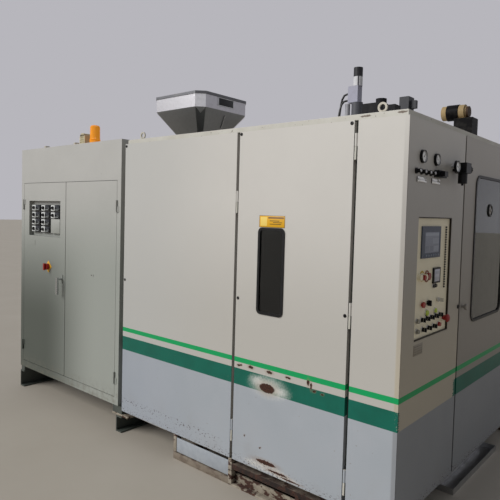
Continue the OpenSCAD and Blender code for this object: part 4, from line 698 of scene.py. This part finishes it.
def push_button(bezels, caps, y, z, radius, proud):
    """A chromed bezel ring, and a cap with a dished face, over the solid of the same button."""
    bezel = 4.0
    turned(bezels, on_plate(y, z), OUT, [(0, radius + 3.4), (bezel - 0.8, radius + 3.4), (bezel + 0.3, radius + 2.4),
                                         (bezel + 0.3, 0)])
    turned(caps, on_plate(y, z), OUT, [(bezel, radius + 0.4), (proud - 0.7, radius + 0.4), (proud + 0.4, radius - 0.8),
                                       (proud + 0.2, radius * 0.6), (proud + 0.2, 0)])


def dress_control_plate():
    """Bezels and caps of the fixed buttons and lamps, bar knobs of the selectors, the lamp row, and dark strips of
    painted shade along the recess's edge.
    """
    chrome, black, grey, red, lit, disc, yellow, edge = (bmesh.new() for _ in range(8))
    upper_row = zip((40, 92.5, 145, 197.5, 250, 302.5), (grey, black, black, black, black, black))
    lower_row = zip((44, 107, 170, 233, 296), (grey, black, black, black, red))
    for row, z in ((upper_row, 88), (lower_row, 41)):
        for y, caps in row:
            push_button(chrome, caps, y, z, 10, 16)
            if caps is black:
                box_on_plate(black, (15, 24), (y - 3, y + 3), (z - 10, z + 10), 1)
    for caps, y, z, radius, proud in ((grey, 52, 286, 11, 8), (red, 82, 284, 12, 20), (black, 243, 234, 8, 9),
                                      (black, 217, 234, 8, 9), (lit, 150, 113, 13, 9), (lit, 252, 113, 11, 9)):
        push_button(chrome, caps, y, z, radius, proud)
    studs("lamp_row", "machine", [(on_plate(350, 220, 3.5), (0, 0, 12.2), 25, OUT)], 12, 4.7, 5.0,
          "black_plastic")
    # dark strips that paint the shade along the recess: top, bottom, rear side, front side
    wide, high = (0.6, PLATE_WIDE - 0.6), (4.8, PLATE_HIGH - 5.3)
    for y, z in ((wide, (PLATE_HIGH - 5.1, PLATE_HIGH - 0.6)), (wide, (0.6, 4.6)),
                 ((PLATE_WIDE - 5.1, PLATE_WIDE - 0.6), high), ((0.6, 2.6), high)):
        box_on_plate(edge, (0.1, 8.5), y, z)
    turned_ring(disc, on_plate(138, 286), OUT, [(0.1, 21), (0.1, 28), (2.0, 28), (2.6, 27), (2.6, 21)])
    turned_ring(yellow, on_plate(84, 290, 0.1), OUT, [(0, 17), (0, 25), (0.8, 25), (0.8, 17)])
    finish_piece(edge, "recess_painted_shade_strip", moulded("brown_painted_shade_strip", "#2A231C", "#332B22", gloss=0.2), "machine")
    finish_piece(chrome, "button_bezels", bare_steel("plated_bezel", "#C8C8C6", roughness=0.18), "machine")
    slot_piece(black, "black_knobs", "black_plastic", "machine")
    finish_piece(grey, "white_caps", moulded("grey_cap", "#8D8A80", "#817E74", roughness=0.35), "machine")
    slot_piece(red, "red_caps", "red_plastic", "machine")
    finish_piece(lit, "lit_caps", moulded("lit_cap", "#B9D400", "#A9C400", roughness=0.3), "machine")
    finish_piece(disc, "start_button_disc", moulded("brown_disc", "#7A4218", "#8A4C1E", roughness=0.4), "machine")
    finish_piece(yellow, "yellow_ring_plate", moulded("yellow_ring", "#C2A21A", "#B39414", roughness=0.4), "machine")


def screen_face():
    """Panel glass over a backlit picture: plain fields and bars, no writing."""
    c = Coat("screen_glass", roughness=0.12)
    _, y, z = c.axes
    field = c.blend(c.ramp(z, PLATE_Z + 395, PLATE_Z + 490), "#6A7284", "#737B8D")
    for low, high, left, right, tone in ((474, 486, 98, 258, "#838B9B"), (436, 462, 102, 170, "#6F778A"),
                                         (436, 462, 182, 254, "#7B8394"), (402, 426, 102, 140, "#626A7D"),
                                         (402, 426, 150, 188, "#626A7D"), (402, 426, 198, 254, "#7B8394")):
        bar = c.times(c.between(z, PLATE_Z + low, PLATE_Z + high, 0.5),
                      c.between(y, PLATE_Y + left, PLATE_Y + right, 0.5))
        field = c.blend(bar, field, tone)
    c.set("Base Color", field)
    c.set("Emission Color", field)
    c.set("Emission Strength", 0.06)
    return c.material


def printed(name, ground, ink, fields, axis="y", roughness=0.4, coat=0.0):
    """Printed plate with plain bars on a ground colour, each (low and high across, low and high up, colour)."""
    c = Coat(name, roughness=roughness)
    x, y, z = c.axes
    across = y if axis == "y" else x
    tone = c.blend(c.speckle(12, 0.35, 0.8, detail=5.0), ground, ink)
    tone = c.blend(0.88, tone, ground)
    for left, right, low, high, colour in fields:
        bar = c.times(c.between(across, left, right, 0.4), c.between(z, low, high, 0.4))
        tone = c.blend(bar, tone, colour)
    c.set("Base Color", tone)
    c.set("Coat Weight", coat)
    c.relief(c.speckle(3, 0.2, 0.8, detail=1.0), 0.02)
    return c.material


def dress_screens():
    """The screen's picture and its row of keys, and the counter's face."""
    glass, keys, face = bmesh.new(), bmesh.new(), bmesh.new()
    y, z = SCREEN_AT
    box_on_plate(glass, (4.0, 4.8), (y + 35.3, y + 204.7), (z + 23.3, z + 119.7))
    for i in range(6):
        left = y + 38 + i * 28
        box_on_plate(keys, (5.8, 7.2), (left, left + 22), (z + 6, z + 16), 1.2)
    y, z = COUNTER_AT
    box_on_plate(face, (5.1, 8.3), (y + 11, y + 71), (z + 8, z + 66), 0.5)
    y, z = y + PLATE_Y, z + PLATE_Z
    fields = [(y + 19 + i * 9, y + 25 + i * 9, z + 43, z + 57, "#9297A3") for i in range(5)]
    fields += [(y + 16 + i * 17, y + 28 + i * 17, z + 14, z + 30, "#A0A4AE") for i in range(3)]
    finish_piece(glass, "screen_picture", screen_face(), "machine")
    finish_piece(keys, "screen_keys", moulded("screen_key_film", "#4C596B", "#556275", roughness=0.3), "machine")
    finish_piece(face, "counter_face", printed("counter_face_film", "#B9BAC6", "#A6A8B4", fields, coat=0.3), "machine")


# Air service on the end face


def gauge_dial_finish():
    """White enamelled dial under glass: a coat gives the glass's gloss."""
    c = Coat("gauge_dial_enamel", roughness=0.4)
    c.set("Base Color", c.blend(c.speckle(8, 0.3, 0.8), "#E4E4E2", "#D6D6D6"))
    c.set("Coat Weight", 1.0)
    c.set("Coat Roughness", 0.05)
    return c.material


def dial_bar(shape, x, y, z, turn, reach, size):
    """A thin bar on a dial, at an angle and a distance from the dial's middle; size is along X, outward, across."""
    place = Matrix.Translation(spot(x, y + math.cos(turn) * reach, z + math.sin(turn) * reach))
    bmesh.ops.create_cube(shape, size=1.0, matrix=place @ Matrix.Rotation(turn, 4, "X")
                          @ Matrix.Diagonal((*(v * MM for v in size), 1)))


def dress_gauges():
    """Dials with a scale, a needle and a rim."""
    dials, rims, marks = bmesh.new(), bmesh.new(), bmesh.new()
    # middle, radius and the needle's angle
    gauges = [((0, 143, 1775), 29, 0.7), ((0, 298, 1775), 28, 2.2), ((46, 428, 1752), 29, -0.4)]
    for (x, y, z), radius, needle in gauges:
        turned(dials, spot(x, y, z), OUT, [(8.0, radius - 5.2), (8.5, radius - 5.2), (8.5, 0)], sides=40)
        turned_ring(rims, spot(x, y, z), OUT, [(-0.3, radius - 6), (-0.3, radius + 0.7), (3.4, radius + 0.7),
                                               (4.2, radius - 1.2), (9.0, radius - 1.2), (11.4, radius - 0.3),
                                               (12.6, radius - 0.8), (12.6, radius - 3.6), (8.6, radius - 4.6),
                                               (8.6, radius - 6)], sides=40)
        # scale marks every 30 degrees over three quarters of the dial
        for k in range(10):
            dial_bar(marks, x + 8.7, y, z, math.radians(225 - k * 30), radius - 9, (0.4, 4, 1.1))
        dial_bar(marks, x + 9.0, y, z, needle, 6, (0.5, 24, 1.3))
        turned(marks, spot(x, y, z), OUT, [(8.5, 2.4), (9.6, 2.4), (9.9, 1.6), (9.9, 0)], sides=16)
    finish_piece(dials, "gauge_dials", gauge_dial_finish(), "machine")
    slot_piece(rims, "gauge_rims", "black_plastic", "machine")
    slot_piece(marks, "gauge_marks", "black_plastic", "machine")


def dress_air_labels():
    """White engraved plates without words, each held by two small screws, and bright spindles in the ring knobs."""
    plates, screws, spindles = bmesh.new(), bmesh.new(), bmesh.new()
    fields = []
    for y0, y1, z0, z1 in ((93, 187, 1663, 1684), (253, 343, 1664, 1686)):
        box_in(plates, (3.9, 4.7), (y0 - 0.5, y1 + 0.5), (z0 - 0.5, z1 + 0.5), 0.3)
        for y in (y0 + 6, y1 - 6):
            turned(screws, spot(4.6, y, (z0 + z1) / 2), OUT, [(0, 3.2), (1.0, 3.0), (1.5, 1.6), (1.5, 0)], sides=16)
        fields += [(y0 + 16 + i * 13, y0 + 26 + i * 13, z0 + 8, z0 + 13, "#A5A5A8") for i in range(5)]
    for y in (81, 136, 190, 239):
        turned(spindles, spot(22, y, 1708), OUT, [(-0.5, 6.5), (3, 6.5), (4, 5.5), (4, 0)], sides=20)
    white = printed("engraved_white_plate", "#FAFAFA", "#E8E8E8", fields, roughness=0.2, coat=1.0)
    finish_piece(plates, "air_labels", white, "machine")
    slot_piece(screws, "air_label_screws", "steel_dark", "machine")
    slot_piece(spindles, "ring_knob_spindles", "steel_bright", "machine")


def dress_end_plates():
    """Rating plate left with plain fields, and the small lock slot in the operator panel."""
    plate, lock = bmesh.new(), bmesh.new()
    box_in(plate, (0.1, 1.0), (130, 230), (883, 933), 0.3)
    lines = [(136, 224, low, high) for low, high in ((923, 924.5), (912, 913), (901, 902), (890, 891))]
    lines += [(low, high, 890, 924) for low, high in ((136, 137.5), (180, 181), (222.5, 224))]
    etched = printed("etched_rating_plate", "#8B8375", "#7D7669", [(*line, "#2C2A27") for line in lines])
    turned(lock, spot(0, 669, 1048), OUT, [(-0.5, 11), (2.2, 11), (3.4, 9.5), (3.4, 0)], sides=24)
    finish_piece(plate, "rating_plate", etched, "machine")
    slot_piece(lock, "operator_panel_lock", "black_plastic", "machine")


# Front and cabinet fittings


def dress_front_locks():
    """Black quarter-turn locks at the free corners of the doors."""
    profile = [(-1, 8.5), (1.6, 8.5), (3.0, 7.2), (3.0, 3.2), (2.2, 3.0), (2.2, 0)]
    places = {"machine": [(-943, 1924), (-939, 1046), (-275, 1924), (-277, 1045)],
              "left_front_door": [(-1951, 1921), (-1948, 1043)]}
    for body, points in places.items():
        locks = bmesh.new()
        for x, z in points:
            turned(locks, spot(x, 0, z), TO_FRONT, profile, sides=24)
        slot_piece(locks, body + "_locks", "black_plastic", body)


def dress_plates():
    """The yellow plate over the window, and the cabinet doors' grey plate, switch plate and key lock."""
    yellow, grey, switch, lock = bmesh.new(), bmesh.new(), bmesh.new(), bmesh.new()
    left, right, low, high = -803, -637, 1434.5, 1495.5
    box_in(yellow, (left, right), (-0.9, -0.1), (low, high), 0.3)
    dark, amber = "#2B2518", "#7A5208"
    fields = [(left, right, low, low + 2, dark), (left, right, high - 2, high, dark),
              (left, left + 2, low, high, dark), (right - 2, right, low, high, dark),
              (-795, -752, 1442, 1488, "#EFD06A"), (-744, -644, 1480, 1489, amber), (-734, -672, 1467, 1470.5, dark),
              (-712, -655, 1459, 1462, dark), (-734, -660, 1450.5, 1453.5, dark)]
    finish_piece(yellow, "yellow_plate", printed("yellow_plate_print", "#E0A80C", "#CC970A", fields, axis="x"),
                 "machine")
    box_in(grey, (-3237, -3151), (-0.9, -0.1), (1201, 1245), 0.3)
    fields = [(-3233 + i * 17, -3221 + i * 17, 1206, 1240, "#8E928C") for i in range(5)]
    finish_piece(grey, "grey_plate", printed("grey_plate_film", "#767B76", "#6A6F6A", fields, axis="x"),
                 "cabinet_left_door")
    middle = spot(-2937, 0, 1046)
    turned_ring(switch, middle, TO_FRONT, [(0.1, 14), (0.1, 46.7), (2.2, 46.7), (2.8, 45.2), (2.8, 14)], sides=4)
    bmesh.ops.rotate(switch, cent=middle, matrix=Matrix.Rotation(math.radians(45), 3, "Y"), verts=switch.verts)
    finish_piece(switch, "switch_plate", moulded("yellow_switch_plate", "#E2AC22", "#D49D18", roughness=0.4),
                 "cabinet_left_door")
    box_in(lock, (-2347, -2313), (-1.2, 0.5), (1031, 1037), 0.5)
    slot_piece(lock, "cabinet_key_lock", "steel_dark", "cabinet_right_door")


def dress_instruments():
    """Temperature controllers: a pale label, a black setting knob and a dark window in each black module."""
    labels, windows, knobs, lines, blank = (bmesh.new() for _ in range(5))
    middle_x, middle_z, step_x, step_z, face = -3011, 1419, 148, 56.5, 10.0
    for row in range(4):
        for column in range(3):
            x = middle_x + (column - 1) * step_x
            z = middle_z + (1.5 - row) * step_z
            if column == 2 and row > 1:
                continue
            box_in(labels, (x - 63, x - 8), (face - 0.9, face + 0.2), (z - 22, z + 22), 0.4)
            box_in(windows, (x - 6, x + 63), (face - 1.4, face + 0.2), (z - 22, z + 22), 0.8)
            box_in(lines, (x + 4, x + 46), (face - 1.8, face - 1.2), (z - 16, z - 12))
            box_in(lines, (x + 42, x + 46), (face - 1.8, face - 1.2), (z - 16, z + 2))
            turned(knobs, spot(x - 32.5, face, z), TO_FRONT, [(-0.2, 14), (7, 13), (11.4, 11.5), (11.4, 0)], sides=24)
    # one cover closes the two places without a controller
    x = middle_x + step_x
    box_in(blank, (x - 65, x + 65), (11.0, 33.5), (middle_z - 110.5, middle_z - 0.5), 0.6)
    finish_piece(labels, "controller_labels", moulded("controller_label", "#D8DAD8", "#BFC3C2", roughness=0.5),
                 "cabinet_left_door")
    finish_piece(windows, "controller_windows", moulded("controller_window", "#15181B", "#22262A", roughness=0.12),
                 "cabinet_left_door")
    finish_piece(lines, "controller_lines", moulded("controller_print", "#9DA3A4", "#8A9091"), "cabinet_left_door")
    slot_piece(knobs, "controller_knobs", "black_plastic", "cabinet_left_door")
    slot_piece(blank, "blank_cover", "cabinet_paint", "cabinet_left_door")


# The hopper

HOPPER_X, HOPPER_Y = -2443, 1140


def eight_sided(half, corner):
    """The hopper's outline as (x, y) millimetres from its middle."""
    w, v = half, half - corner
    return [(v, -w), (w, -v), (w, v), (v, w), (-v, w), (-w, v), (-w, -v), (-v, -w)]


def dress_hopper():
    """A dark lip along the rim, a sight window in the right face, and the slide's rod on the cone."""
    lip, pane, rim, rod = bmesh.new(), bmesh.new(), bmesh.new(), bmesh.new()
    rings = [[lip.verts.new(spot(HOPPER_X + x, HOPPER_Y + y, z)) for x, y in eight_sided(half, corner)]
             for half, corner, z in ((305.5, 63, 2455), (305.5, 63, 2476), (296.4, 59, 2476), (296.4, 59, 2455))]
    for near, far in zip(rings, rings[1:] + rings[:1]):
        for i in range(8):
            j = (i + 1) % 8
            lip.faces.new([near[i], near[j], far[j], far[i]])
    face = HOPPER_X + 299
    box_in(pane, (face + 0.6, face + 2.0), (1046, 1222), (2388, 2450), 0.5)
    for y, z in (((1038, 1230), (2447, 2453)), ((1038, 1230), (2382, 2390)), ((1038, 1048), (2390.2, 2446.8)),
                 ((1220, 1230), (2390.2, 2446.8))):
        box_in(rim, (face + 0.6, face + 4), y, z, 0.6)
    round_bar(rod, spot(-2161, 1145, 2319), spot(-2232, 1170, 2227), 5)
    finish_piece(lip, "hopper_lip", bare_steel("dull_rim_steel", "#6A6B6E", roughness=0.45), "machine")
    finish_piece(pane, "hopper_sight_window",
                 moulded("hopper_window", "#1C1E20", "#26292B", roughness=0.15, gloss=0.3), "machine")
    slot_piece(rim, "hopper_window_frame", "steel_bright", "machine")
    slot_piece(rod, "hopper_slide_rod", "steel_ground", "machine")


# Base frame


def dress_base():
    """The base as an open channel along the front with stiffeners, tubes elsewhere, and a plate in the last bay."""
    shape, plate = bmesh.new(), bmesh.new()
    channel, rear = (-955.8, -39), (1908, 1948)
    for number, post in enumerate((-59, -514, -969, -1424)):
        narrow, wide = (post - 13, post + 13), (post - 20, post + 20)
        if post > channel[0]:
            box_in(shape, narrow, (3, 35.8), (10.2, 94.6), 1)
        else:
            box_in(shape, narrow, (2, 42), (40.2, 150), 1)
        box_in(shape, narrow, rear, (40.2, 150), 1)
        box_in(shape, wide, (82.4, 1867.6), (124, 159.8), 1)
        if number:
            box_in(shape, wide, (42.2, 1907.8), (0, 40), 1)
    # deck rails that carry the enclosure, and the bridges to the extruder's stand
    for deck, bridge in (((42.2, 82.2), (4, 94)), ((1867.8, 1907.8), (1856, 1946))):
        box_in(shape, (-1931.7, -39), deck, (124, 159.8), 1)
        box_in(shape, (-2074, -1903.7), bridge, (110, 123.8), 1)
    # front tube, rear tube, then the channel's lower flange, web and upper flange
    for x, y, z, soft in (((-1437, -956), (2, 42), (0, 40), 2), ((-1444, -39), rear, (0, 40), 2),
                          (channel, (2, 36), (0, 10), 1), (channel, (36, 42), (0, 123.8), 1),
                          (channel, (2, 36), (94.8, 123.8), 1)):
        box_in(shape, x, y, z, soft)
    base = finish_piece(shape, "base_frame_channel", finishes["base_paint"], "machine")
    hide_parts("base_frame")
    box_in(plate, (-1410.8, -982.2), (5, 8), (48, 134), 0.8)
    pale_blue = moulded("pale_blue_plate", "#9FA5AC", "#969CA4", roughness=0.5)
    finish_piece(plate, "base_infill_plate", pale_blue, "machine")


def dress_window_ring():
    """A round grip on the window door's glass: a dark ring with a pale disc and a small boss."""
    ring, disc = bmesh.new(), bmesh.new()
    middle = spot(-1.9, 1132, 1558)
    turned_ring(ring, middle, OUT, [(0, 25), (0, 37), (5, 37), (7, 34), (7, 28), (5, 25)])
    turned(disc, middle, OUT, [(0, 24.6), (2.5, 24.6), (3, 23.5), (3, 9), (9, 8), (9, 0)])
    slot_piece(ring, "window_ring", "black_plastic", "window_door")
    finish_piece(disc, "window_ring_disc", moulded("pale_disc", "#A9A5A0", "#9B9792"), "window_door")


scene.view_settings.view_transform = "Standard"
place_camera()
light_the_room()
lay_floor()
finishes = dress_nodes()
dress_control_plate()
dress_screens()
dress_gauges()
dress_air_labels()
dress_end_plates()
dress_front_locks()
dress_plates()
dress_instruments()
dress_hopper()
dress_base()
dress_window_ring()
dress_screws()
